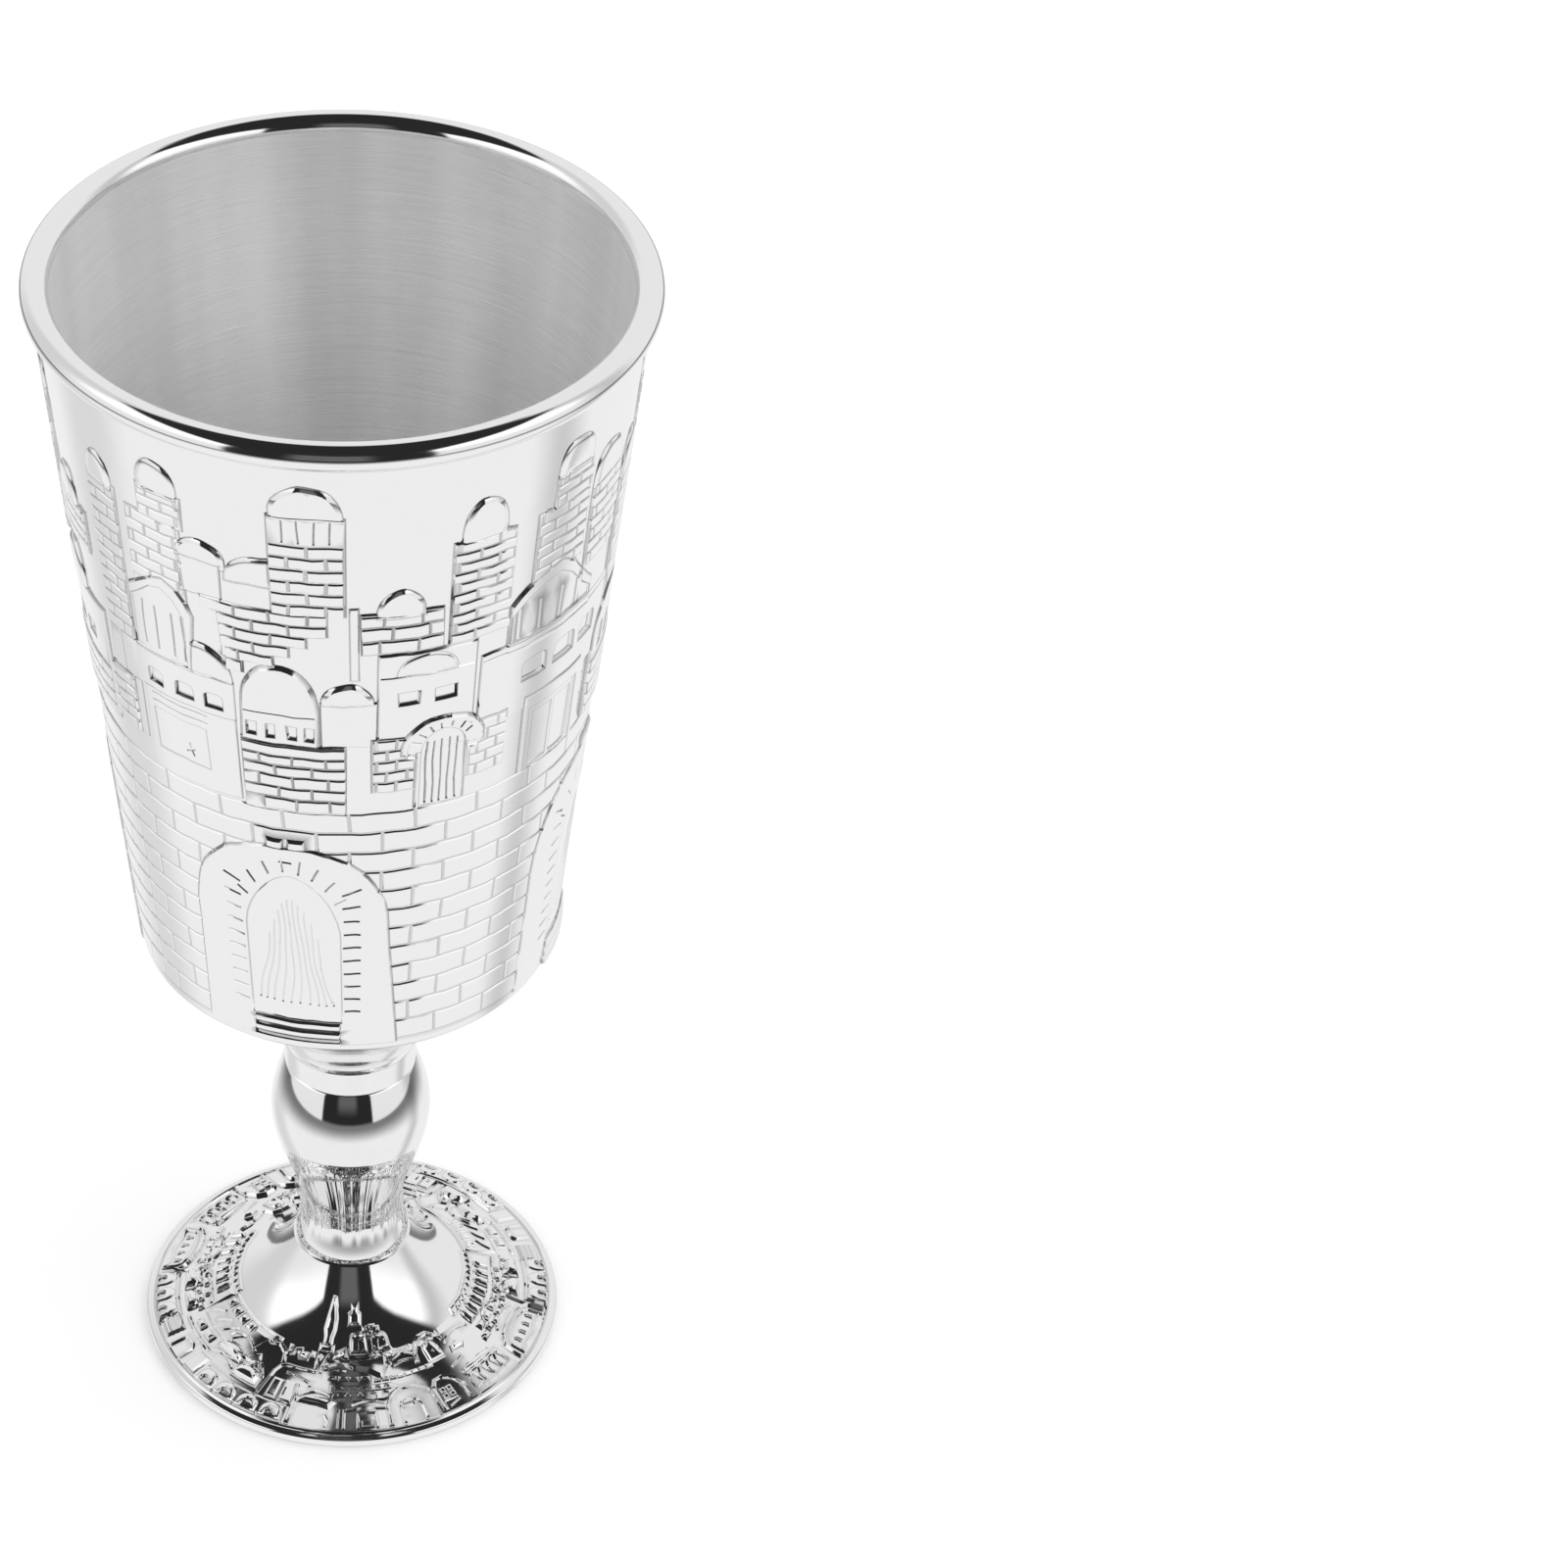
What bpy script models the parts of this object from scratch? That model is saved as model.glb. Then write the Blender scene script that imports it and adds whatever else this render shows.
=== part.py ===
"""Kiddush cup: a footed silver wine cup whose bowl and foot carry a city in low relief.

Metres, +Z up. The origin is at the centre of the foot's underside, and the front gate faces -Y.
Three pieces: a hollow bowl, a solid turned stem and a foot that is hollow below.
"""

from math import cos, hypot, pi, radians, sin

import bmesh
import bpy
from mathutils import Vector

# Foot
FOOT_RADIUS = 0.0243
FOOT_EDGE = 0.00125
FOOT_HEIGHT = 0.0119
FOOT_CURVE = 4.0
FOOT_LEAN = 0.36
FOOT_WALL = 0.0010
FOOT_RING_WIDTH = 0.0018
SEAT_MARGIN = 0.00025

# Stem
STEM_LENGTH = 0.0307
STEM_BASE_RADIUS = 0.00658
WAIST_RADIUS = 0.00593
WAIST_RISE = 0.0052
KNOP_RADIUS = 0.00912
KNOP_RISE = 0.0205
NECK_RADIUS = 0.00735
COLLAR_RADIUS = 0.00753
COLLAR_HEIGHT = 0.0031

# Bowl
BOWL_HEIGHT = 0.1024
UNDERSIDE_RISE = 0.0174
UNDERSIDE_CURVE = 1.35
CORNER_RADIUS = 0.02299
CORNER_ROUNDING = 0.0010
WALL_TOP_RADIUS = 0.03136
LIP_MIDDLE_RADIUS = 0.03113
LIP_BEAD_RADIUS = 0.00151
LIP_OVERHANG = 0.00033
MOUTH_BAND = 0.0054
BOWL_WALL = 0.0012
FLOOR_RISE = 0.0050

# The gap that neighbouring pieces keep where they meet
JOINT_GAP = 0.0003

# Relief
RELIEF_PROUD = 0.00045
RELIEF_SUNK = 0.00040
FOOT_RELIEF_PROUD = 0.00050

# Facets
BOWL_STEPS = 56
STEM_STEPS = 32
FOOT_STEPS = 48
MERGE = 0.00001

# Heights and radii that follow
SEAT_RADIUS = STEM_BASE_RADIUS + SEAT_MARGIN
STEM_BOTTOM = FOOT_HEIGHT + JOINT_GAP
BOWL_BOTTOM = FOOT_HEIGHT + STEM_LENGTH
STEM_TOP = BOWL_BOTTOM - JOINT_GAP
CORNER_HEIGHT = BOWL_BOTTOM + UNDERSIDE_RISE
CREST_HEIGHT = BOWL_BOTTOM + BOWL_HEIGHT
LIP_MIDDLE_HEIGHT = CREST_HEIGHT - LIP_BEAD_RADIUS
WALL_TOP_HEIGHT = LIP_MIDDLE_HEIGHT - LIP_BEAD_RADIUS - LIP_OVERHANG


def shares(count, first=0.0, last=1.0):
    """Evenly spaced numbers from first to last, both included."""
    return [first + (last - first) * i / count for i in range(count + 1)]


def blend(start, end, share):
    return start + (end - start) * share


def ease(share):
    """A cosine step from 0 to 1 with level ends."""
    return 0.5 - 0.5 * cos(pi * share)


def fillet(before, corner, after, radius, steps):
    """Points of the arc that rounds a corner of a profile."""
    corner = Vector(corner)
    to_before = (Vector(before) - corner).normalized()
    to_after = (Vector(after) - corner).normalized()
    half = to_before.angle(to_after) / 2
    middle = corner + (to_before + to_after).normalized() * (radius / sin(half))
    start = corner + to_before * (radius * cos(half) / sin(half)) - middle
    end = corner + to_after * (radius * cos(half) / sin(half)) - middle
    return [tuple(middle + start.slerp(end, share).normalized() * radius) for share in shares(steps)]


def offset_inward(profile, distance):
    """A profile that runs top to bottom down the outer side, moved into the metal."""
    moved = []
    last = len(profile) - 1
    for i, point in enumerate(profile):
        above = profile[max(i - 1, 0)]
        below = profile[min(i + 1, last)]
        along = (below[0] - above[0], below[1] - above[1])
        length = hypot(*along)
        moved.append((point[0] + along[1] / length * distance, point[1] - along[0] / length * distance))
    return moved


# Bowl: outer side


def underside_radius(height):
    share = (height - BOWL_BOTTOM) / UNDERSIDE_RISE
    return COLLAR_RADIUS + (CORNER_RADIUS - COLLAR_RADIUS) * share**UNDERSIDE_CURVE


def wall_radius(height):
    """Radius of the decorated outer side, a cone from the lower corner up to the middle of the lip."""
    return blend(CORNER_RADIUS, WALL_TOP_RADIUS, (height - CORNER_HEIGHT) / (LIP_MIDDLE_HEIGHT - CORNER_HEIGHT))


def bowl_profile():
    """From the middle of the floor up the inside, over the round bead of the lip and down the outside."""
    lip = []
    for turn in (180, 135, 90, 45, 0, -40, -75):
        lip.append((
            LIP_MIDDLE_RADIUS + LIP_BEAD_RADIUS * cos(radians(turn)),
            LIP_MIDDLE_HEIGHT + LIP_BEAD_RADIUS * sin(radians(turn)),
        ))
    wall_top = (wall_radius(WALL_TOP_HEIGHT), WALL_TOP_HEIGHT)
    mouth_height = LIP_MIDDLE_HEIGHT - MOUTH_BAND
    mouth_base = (wall_radius(mouth_height), mouth_height)
    underside = [blend(CORNER_HEIGHT, BOWL_BOTTOM, share) for share in shares(5)]
    underside = [(underside_radius(height), height) for height in underside]
    corner = fillet(wall_top, underside[0], underside[1], CORNER_ROUNDING, 2)
    outside = [wall_top, *corner, *underside[1:]]
    lining = [blend(CORNER_HEIGHT, BOWL_BOTTOM + FLOOR_RISE - BOWL_WALL, share) for share in shares(3)]
    lining = [(underside_radius(height), height) for height in lining]
    inside = offset_inward([mouth_base, *corner, *lining[1:]], BOWL_WALL)
    floor = (0.0, inside[-1][1])
    return [floor, *reversed(inside), *lip, *outside, (0.0, BOWL_BOTTOM)]


# Stem


def stem_radius(rise):
    """Radius of the stem at a rise above the foot, up to the collar."""
    neck_rise = STEM_LENGTH - COLLAR_HEIGHT
    if rise < WAIST_RISE:
        return blend(STEM_BASE_RADIUS, WAIST_RADIUS, ease(rise / WAIST_RISE))
    if rise < KNOP_RISE:
        share = (rise - WAIST_RISE) / (KNOP_RISE - WAIST_RISE)
        return blend(WAIST_RADIUS, KNOP_RADIUS, ease(share))
    share = (rise - KNOP_RISE) / (neck_rise - KNOP_RISE)
    return blend(KNOP_RADIUS, NECK_RADIUS, share**1.75)


def stem_profile():
    neck_rise = STEM_LENGTH - COLLAR_HEIGHT
    rises = shares(4, neck_rise, KNOP_RISE)
    rises += shares(6, KNOP_RISE, WAIST_RISE)[1:]
    rises += shares(2, WAIST_RISE, JOINT_GAP)[1:]
    outside = [(stem_radius(rise), FOOT_HEIGHT + rise) for rise in rises]
    collar = [(COLLAR_RADIUS, STEM_TOP), (COLLAR_RADIUS, FOOT_HEIGHT + neck_rise)]
    return [(0.0, STEM_TOP), *collar, *outside, (0.0, STEM_BOTTOM)]


# Foot


def foot_height(radius):
    """Height of the foot's upper side at a radius: a trumpet that is steep at the stem and leans gently at the edge."""
    share = (FOOT_RADIUS - radius) / (FOOT_RADIUS - SEAT_RADIUS)
    return FOOT_EDGE + (FOOT_HEIGHT - FOOT_EDGE) * blend(share**FOOT_CURVE, share, FOOT_LEAN)


def foot_profile():
    radii = [blend(SEAT_RADIUS, FOOT_RADIUS, share**1.4) for share in shares(8)]
    outside = [(radius, foot_height(radius)) for radius in radii]
    ring_inside = FOOT_RADIUS - FOOT_RING_WIDTH
    hollow = [point for point in offset_inward(outside, FOOT_WALL) if point[0] < ring_inside]
    ceiling = FOOT_HEIGHT - FOOT_WALL * 1.2
    across = (hollow[0][1] - ceiling) / (hollow[0][1] - hollow[1][1])
    hollow[0] = (blend(hollow[0][0], hollow[1][0], across), ceiling)
    below = [(FOOT_RADIUS, 0.0), (ring_inside, 0.0), *reversed(hollow)]
    return [(0.0, FOOT_HEIGHT), *outside, *below, (0.0, ceiling)]


# Objects


def new_collection(name):
    collection = bpy.data.collections.new(name)
    bpy.context.scene.collection.children.link(collection)
    return collection


def silver(name, colour, roughness):
    material = bpy.data.materials.new(name)
    material.use_nodes = True
    shader = material.node_tree.nodes["Principled BSDF"]
    shader.inputs["Base Color"].default_value = (*colour, 1.0)
    shader.inputs["Roughness"].default_value = roughness
    shader.inputs["Metallic"].default_value = 1.0
    return material


def turned(name, profile, steps, material, collection):
    """A piece turned about Z from its half profile."""
    mesh = bpy.data.meshes.new(name)
    points = [(radius, 0.0, height) for radius, height in profile]
    mesh.from_pydata(points, [(i, i + 1) for i in range(len(points) - 1)], [])
    piece = bpy.data.objects.new(name, mesh)
    collection.objects.link(piece)
    screw = piece.modifiers.new("turning", "SCREW")
    screw.steps = steps
    screw.render_steps = steps
    screw.use_merge_vertices = True
    screw.merge_threshold = MERGE
    screw.use_smooth_shade = True
    mesh.materials.append(material)
    return piece


def raised_mass(name, outlines, bend, step, proud, collection):
    """A flat outline made thick, cut across where it has to bend, and laid on a curved surface by bend.

    Outlines are in radians across and metres up, and a second outline is an opening in the first.
    """
    curve = bpy.data.curves.new(name, "CURVE")
    curve.dimensions = "2D"
    curve.fill_mode = "BOTH"
    curve.extrude = (RELIEF_SUNK + proud) / 2
    for outline in outlines:
        spline = curve.splines.new("POLY")
        spline.points.add(len(outline) - 1)
        for point, (across, up) in zip(spline.points, outline):
            point.co = (across, up, 0.0, 1.0)
        spline.use_cyclic_u = True
    flat = bpy.data.objects.new(name, curve)
    collection.objects.link(flat)
    graph = bpy.context.evaluated_depsgraph_get()
    mesh = bpy.data.meshes.new_from_object(flat.evaluated_get(graph))
    bpy.data.objects.remove(flat)

    shape = bmesh.new()
    shape.from_mesh(mesh)
    bmesh.ops.remove_doubles(shape, verts=shape.verts, dist=MERGE / 10)
    low = min(point[0] for point in outlines[0])
    high = max(point[0] for point in outlines[0])
    cut = (int(low / step) - 2 + 0.5) * step
    while cut < high:
        if cut > low:
            everything = [*shape.verts, *shape.edges, *shape.faces]
            bmesh.ops.bisect_plane(shape, geom=everything, plane_co=(cut, 0, 0), plane_no=(1, 0, 0), dist=1e-7)
        cut += step
    bmesh.ops.triangulate(shape, faces=shape.faces)
    for vertex in shape.verts:
        outward = vertex.co.z + (proud - RELIEF_SUNK) / 2
        vertex.co = bend(vertex.co.x, vertex.co.y, outward)
    shape.to_mesh(mesh)
    shape.free()

    mass = bpy.data.objects.new(name, mesh)
    mass.hide_render = True
    mass.display_type = "WIRE"
    collection.objects.link(mass)
    return mass


def on_bowl(angle, height, outward):
    radius = wall_radius(height) + outward
    return Vector((radius * sin(angle), -radius * cos(angle), height))


def on_foot(angle, inward, outward):
    """The foot's relief runs inward from the edge, which is up for its houses."""
    radius = FOOT_RADIUS - inward
    height = foot_height(radius) + outward
    return Vector((radius * sin(angle), -radius * cos(angle), height))


def arched(middle, width, base, shoulder, top, steps):
    """A wall outline with an arched or domed top, anticlockwise from its lower left corner."""
    half = radians(width) / 2
    centre = radians(middle)
    outline = [(centre - half, base), (centre + half, base)]
    for share in shares(steps):
        outline.append((centre + half * cos(pi * share), shoulder + (top - shoulder) * sin(pi * share)))
    return outline


def domed_tower(middle, width, base, shoulder, top, dome_width, steps=6):
    """A tower with straight shoulders and a narrower dome on top."""
    half = radians(width) / 2
    dome = radians(dome_width) / 2
    centre = radians(middle)
    outline = [(centre - half, base), (centre + half, base), (centre + half, shoulder)]
    for share in shares(steps):
        outline.append((centre + dome * cos(pi * share), shoulder + (top - shoulder) * sin(pi * share)))
    outline.append((centre - half, shoulder))
    return outline


# Bowl relief: four gates a quarter turn apart, with two different quarters of the city over them


def field(share):
    """Height on the decorated wall, from 0 at its lower edge to 1 under the lip."""
    return blend(CORNER_HEIGHT + CORNER_ROUNDING, WALL_TOP_HEIGHT - LIP_OVERHANG, share)


GATE_WIDTH = 49.0
GATE_OPENING = 31.0
QUARTER = 90.0
FRONT_GATE = -14.8


def gate(middle):
    """The smooth arched band around a large gate, open in the middle and below."""
    base = field(0.0)
    outside = arched(middle, GATE_WIDTH, base, field(0.25), field(0.385), 10)
    inside = arched(middle, GATE_OPENING, base, field(0.24), field(0.335), 8)
    return [[outside[0], inside[0], *reversed(inside[2:]), inside[1], *outside[1:]]]


def first_quarter(middle):
    """Tall domed tower over the gate, a domed hall below it, and a domed tower at each side."""
    return [
        domed_tower(middle + 7.6, 15.6, field(0.72), field(0.955), field(0.995), 13.6),
        arched(middle + 0.5, 17.2, field(0.46), field(0.62), field(0.70), 8),
        domed_tower(middle + 42.0, 12.6, field(0.725), field(0.905), field(0.965), 9.6),
        domed_tower(middle - 22.5, 10.8, field(0.775), field(0.94), field(0.99), 8.4),
        arched(middle + 35.4, 19.6, field(0.45), field(0.555), field(0.61), 8),
    ]


def second_quarter(middle):
    """Two domed towers left of the gate's axis, a wide hall, and a domed tower and an arch at the right."""
    return [
        domed_tower(middle - 28.0, 12.4, field(0.78), field(0.93), field(0.985), 10.0),
        domed_tower(middle - 13.0, 11.6, field(0.70), field(0.87), field(0.93), 9.6),
        arched(middle - 24.0, 19.0, field(0.45), field(0.57), field(0.62), 8),
        domed_tower(middle + 8.0, 13.0, field(0.60), field(0.79), field(0.86), 10.0),
        arched(middle + 3.0, 16.0, field(0.46), field(0.535), field(0.585), 8),
    ]


def raise_bowl_relief(collection):
    step = 2 * pi / BOWL_STEPS
    for quarter in range(4):
        middle = FRONT_GATE + QUARTER * quarter
        raised_mass(f"gate {quarter}", gate(middle), on_bowl, step, RELIEF_PROUD, collection)
        city = second_quarter(middle) if quarter % 2 else first_quarter(middle)
        for number, outline in enumerate(city):
            name = f"building {quarter}.{number}"
            raised_mass(name, [outline], on_bowl, step, RELIEF_PROUD, collection)


# Foot relief: a ring of arched houses at the edge, and domes and slim towers behind them


HOUSES = 8
HOUSE_WIDTH = 37.0
HOUSE_BASE = 0.0018
HOUSE_HEIGHT = 0.0042
DOME_WIDTH = 27.0
DOME_HEIGHT = 0.0030
TOWER_WIDTH = 9.0
TOWER_HEIGHT = 0.0040


def raise_foot_relief(collection):
    step = 2 * pi / FOOT_STEPS
    eaves = HOUSE_BASE + HOUSE_HEIGHT
    for number in range(HOUSES):
        middle = number * 360.0 / HOUSES
        house = arched(middle, HOUSE_WIDTH, HOUSE_BASE, eaves - 0.0012, eaves, 4)
        raised_mass(f"house {number}", [house], on_foot, step, FOOT_RELIEF_PROUD, collection)
        behind = middle + 180.0 / HOUSES
        if number % 3:
            top = eaves + DOME_HEIGHT
            outline = arched(behind, DOME_WIDTH, eaves - 0.0002, blend(eaves, top, 0.4), top, 6)
        else:
            top = eaves + DOME_HEIGHT + TOWER_HEIGHT
            outline = arched(behind, TOWER_WIDTH, eaves - 0.0002, blend(eaves, top, 0.8), top, 4)
        raised_mass(f"dome {number}", [outline], on_foot, step, FOOT_RELIEF_PROUD, collection)


def join(piece, relief):
    union = piece.modifiers.new("relief", "BOOLEAN")
    union.operation = "UNION"
    union.solver = "EXACT"
    union.operand_type = "COLLECTION"
    union.collection = relief


for old in list(bpy.data.objects):
    bpy.data.objects.remove(old, do_unlink=True)

cup = new_collection("kiddush cup")
bowl_relief = new_collection("bowl relief")
foot_relief = new_collection("foot relief")
bowl_relief.hide_render = True
foot_relief.hide_render = True

bowl = turned("bowl", bowl_profile(), BOWL_STEPS, silver("chased silver", (0.90, 0.90, 0.89), 0.16), cup)
stem = turned("stem", stem_profile(), STEM_STEPS, silver("polished silver", (0.92, 0.92, 0.91), 0.06), cup)
foot = turned("foot", foot_profile(), FOOT_STEPS, silver("foot silver", (0.90, 0.90, 0.89), 0.12), cup)

raise_bowl_relief(bowl_relief)
raise_foot_relief(foot_relief)
join(bowl, bowl_relief)
join(foot, foot_relief)
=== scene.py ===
"""Kiddush cup: a footed silver wine cup, its bowl and foot chased with a city of domes, gates and brick walls.

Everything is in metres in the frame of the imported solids. Drawings are in degrees round the cup and millimetres.
Degree 0 faces the front, towards -Y, and degrees grow towards +X.
"""

from math import cos, degrees, hypot, pi, radians, sin

import bpy
import numpy as np
from mathutils import Matrix, Vector
from mathutils.geometry import delaunay_2d_cdt


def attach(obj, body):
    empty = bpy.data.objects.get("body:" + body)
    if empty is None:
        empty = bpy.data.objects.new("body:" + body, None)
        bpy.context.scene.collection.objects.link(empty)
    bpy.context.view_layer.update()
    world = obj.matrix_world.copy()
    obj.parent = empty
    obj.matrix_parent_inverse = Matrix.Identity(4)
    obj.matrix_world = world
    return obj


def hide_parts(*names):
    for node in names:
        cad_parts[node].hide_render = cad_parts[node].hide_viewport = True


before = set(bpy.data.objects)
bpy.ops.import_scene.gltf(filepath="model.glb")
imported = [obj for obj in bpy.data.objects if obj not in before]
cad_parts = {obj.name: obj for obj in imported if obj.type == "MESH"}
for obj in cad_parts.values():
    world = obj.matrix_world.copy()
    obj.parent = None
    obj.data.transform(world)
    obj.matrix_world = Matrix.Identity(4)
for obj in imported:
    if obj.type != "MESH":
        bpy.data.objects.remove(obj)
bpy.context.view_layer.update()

# ---- The foot
# A low spreading trumpet of cast silver, hollow below. A ring of little arched houses stands at its edge with domes
# and slim towers behind them, and the smooth middle is polished. The stem is soldered onto its flat seat.

MM = 0.001
ROUND = 240  # points in every circle round the axis
CREASE = radians(17)  # a sharper bend than this shows as an edge
BARE_MARGIN = 0.12  # unshaded silver round an outline painted dark as shade
NEAR = 2e-3
SLIGHT = 1e-3
PAIRS_AT_ONCE = 400000
FOOT_RADIUS = 24.3
FOOT_EDGE = 1.25
FOOT_HEIGHT = 11.9
FOOT_SEAT = 6.83
FOOT_CURVE = 4.0
FOOT_LEAN = 0.36
FOOT_WALL = 1.0
FOOT_RING = 1.8
RING_INNER = FOOT_RADIUS - FOOT_RING
RELIEF_OUTER = 23.7
BORDER = 23.35
EDGE_ROUNDING = 0.28
BASE_ROUNDING = 0.25


def shares(count, first=0.0, last=1.0):
    """Evenly spaced numbers from first to last, both included."""
    return [first + (last - first) * i / count for i in range(count + 1)]


class Chasing:
    """Low relief on a flat sheet: closed outlines that are lifted from it or pressed into it, one after another."""

    def __init__(self, lay, step=2.6):
        self.lay = lay
        self.step = step
        self.turn = 0.0
        self.marks = []

    def outline_on_sheet(self, outline):
        """The outline with long sides divided, turned to its place and laid on the sheet, anticlockwise."""
        placed = []
        for (a, h), (b, k) in zip(outline, [*outline[1:], outline[0]]):
            parts = max(1, int(np.ceil(abs(b - a) / self.step - 1e-6)))
            for i in range(parts):
                placed.append((a + (b - a) * i / parts + self.turn, h + (k - h) * i / parts))
        return anticlockwise(self.lay(np.array(placed)))

    def mark(self, outline, insets, heights, lifted, recess_shade):
        """Insets and heights give the form's slope, and the last list how dark the silver is painted at each inset, as
        shade in creases and recesses.
        """
        self.marks.append((self.outline_on_sheet(outline), insets, heights, lifted, recess_shade))

    def lift(self, outline, top, edge=0.16):
        """A slab with sloping sides whose top stands this far above the bare sheet."""
        self.mark(outline, [0.0, edge], [0.0, top], True, [1.0, 0.0])

    def swell(self, outline, foot, top, reach):
        """A rounded form, steep at its outline and level at this reach inside it."""
        steps = [0.0, 0.1, 0.28, 0.56, 1.0]
        rise = [foot + (top - foot) * sin(radians(90) * share**0.7) for share in steps]
        self.mark(outline, [reach * share for share in steps], rise, True, [1.0, 0.0, 0.0, 0.0, 0.0])

    def add(self, outline, height, edge=0.16, dark=1.0):
        """A small block on whatever is already there, with its outline painted dark as shade in the crease at its foot.
        """
        self.mark(outline, [0.0, edge], [0.0, height], False, [dark, 0.0])

    def press(self, outline, depth, edge=0.1, dark=0.0, rim=0.0):
        """A dip pressed into whatever is already there, which may be painted dark inside, or have a dark painted rim,
        as shade in the recess.
        """
        self.mark(outline, [0.0, edge], [0.0, -depth], False, [rim, dark])

    def line(self, points, depth=0.1, width=0.3, dark=1.0):
        """A chased line along points, with ends as wide as its middle, and its groove painted dark as shade. The width
        is in millimetres.
        """
        stroke = self.lay(np.array(points, float) + (self.turn, 0.0))
        along = np.gradient(stroke, axis=0)
        side = np.stack([-along[:, 1], along[:, 0]], axis=1)
        side *= (width / 2 / np.linalg.norm(side, axis=1))[:, None]
        outline = anticlockwise(np.concatenate([stroke - side, (stroke + side)[::-1]]))
        self.marks.append((outline, [0.0, width * 0.42], [0.0, -depth], False, [0.0, dark]))

    def ridge(self, points, height=0.28, width=0.5):
        """A rounded rib along points."""
        self.line(points, -height, width)
        # The rib's outline is painted dark, as shade where it meets the sheet.
        self.marks[-1] = (*self.marks[-1][:4], [0.6, 0.0])

    def worked(self, borders, filling, kept):
        """Flat points, their heights, how dark the painted shade makes them, and the triangles between them."""
        points = []
        sides = []

        def take(loop, closed=True):
            first = len(points)
            points.extend(loop)
            last = len(points)
            sides.extend((i, i + 1) for i in range(first, last - 1))
            if closed:
                sides.append((last - 1, first))

        for border, closed in borders:
            take(border, closed)
        for outline, insets, heights, lifted, recess_shade in self.marks:
            dark_rim = recess_shade[0] and heights[-1] < 0
            # An extra loop just outside an outline painted dark keeps its painted shade from spreading over the sheet
            # round it.
            for inset in [-BARE_MARGIN, *insets] if lifted or dark_rim else insets:
                take(moved_in(outline, inset))
        points.extend(filling)
        found = delaunay_2d_cdt([Vector(p) for p in points], sides, [], 0, 1e-4)
        flat = np.array([tuple(v) for v in found[0]])
        faces = np.array(found[2])
        faces = faces[kept(flat[faces].mean(axis=1))]
        return flat, *self.heights(flat), faces

    def heights(self, flat):
        """Lifted forms cover what lies lower, and small ones stand on them. It gives the heights and the painted shade
        of creases and recesses.
        """
        level = np.zeros(len(flat))
        small = np.zeros(len(flat))
        dark = np.zeros(len(flat))
        x, y = flat.T
        for outline, insets, heights, lifted, recess_shade in self.marks:
            low = outline.min(axis=0) - SLIGHT
            high = outline.max(axis=0) + SLIGHT
            near = np.flatnonzero((x > low[0]) & (x < high[0]) & (y > low[1]) & (y < high[1]))
            if not len(near):
                continue
            depth = depth_inside(flat[near], outline)
            near = near[depth > -SLIGHT]
            depth = depth[depth > -SLIGHT]
            value = np.interp(depth, insets, heights)
            # How dark the painted shade of creases and recesses is at each point, by its depth inside the outline.
            shade = np.interp(depth, insets, recess_shade)
            if lifted:
                level += small
                small[:] = 0.0
                shown = value > level[near] - SLIGHT
                level[near] = np.maximum(level[near], value)
            else:
                shown = np.abs(value) >= np.abs(small[near]) - SLIGHT
                small[near] = np.where(np.abs(value) > np.abs(small[near]), value, small[near])
            dark[near] = np.where(shown | (depth < NEAR), shade, dark[near])
        return level + small, dark


def anticlockwise(outline):
    x, y = outline.T
    turning = np.sum(x * np.roll(y, -1) - y * np.roll(x, -1))
    return outline if turning > 0 else outline[::-1]


def moved_in(outline, distance):
    """An anticlockwise outline with each side moved in by this distance."""
    if not distance:
        return outline
    side = np.roll(outline, -1, axis=0) - outline
    side /= np.linalg.norm(side, axis=1)[:, None]
    inward = np.stack([-side[:, 1], side[:, 0]], axis=1)
    before = np.roll(inward, 1, axis=0)
    sharpest = 0.35  # a very sharp corner isn't moved further than this allows
    reach = distance / np.maximum(1 + np.sum(inward * before, axis=1), sharpest)
    return outline + (inward + before) * reach[:, None]


def depth_inside(points, outline):
    """How far each point lies inside an outline; it is negative outside."""
    start = outline
    side = np.roll(outline, -1, axis=0) - start
    square = np.maximum(np.sum(side**2, axis=1), 1e-12)
    found = []
    for part in np.array_split(points, len(points) * len(outline) // PAIRS_AT_ONCE + 1):
        away = part[:, None] - start
        share = np.clip(np.sum(away * side, axis=2) / square, 0, 1)
        distance = np.linalg.norm(away - share[..., None] * side, axis=2).min(axis=1)
        above = start[:, 1] > part[:, None, 1]
        end_above = start[:, 1] + side[:, 1] > part[:, None, 1]
        with np.errstate(divide="ignore", invalid="ignore"):
            crossing = start[:, 0] + (part[:, None, 1] - start[:, 1]) / side[:, 1] * side[:, 0]
        crossings = np.sum((above != end_above) & (crossing > part[:, None, 0]), axis=1)
        found.append(np.where(crossings % 2 == 1, distance, -distance))
    return np.concatenate(found)


def sheet_normals(flat, heights, faces):
    """The normal at each corner of the sheet's triangles, soft across slight bends and sharp at the chased edges."""
    sheet = bpy.data.meshes.new("sheet")
    sheet.from_pydata(np.column_stack([flat, heights]).tolist(), [], faces.tolist())
    sheet.shade_smooth()
    sheet.set_sharp_from_angle(angle=CREASE)
    normals = np.empty(len(sheet.loops) * 3, np.float32)
    sheet.corner_normals.foreach_get("vector", normals)
    bpy.data.meshes.remove(sheet)
    return normals.reshape(-1, 3, 3).astype(float)


def unit(vectors):
    return vectors / np.linalg.norm(vectors, axis=-1)[..., None]


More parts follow.
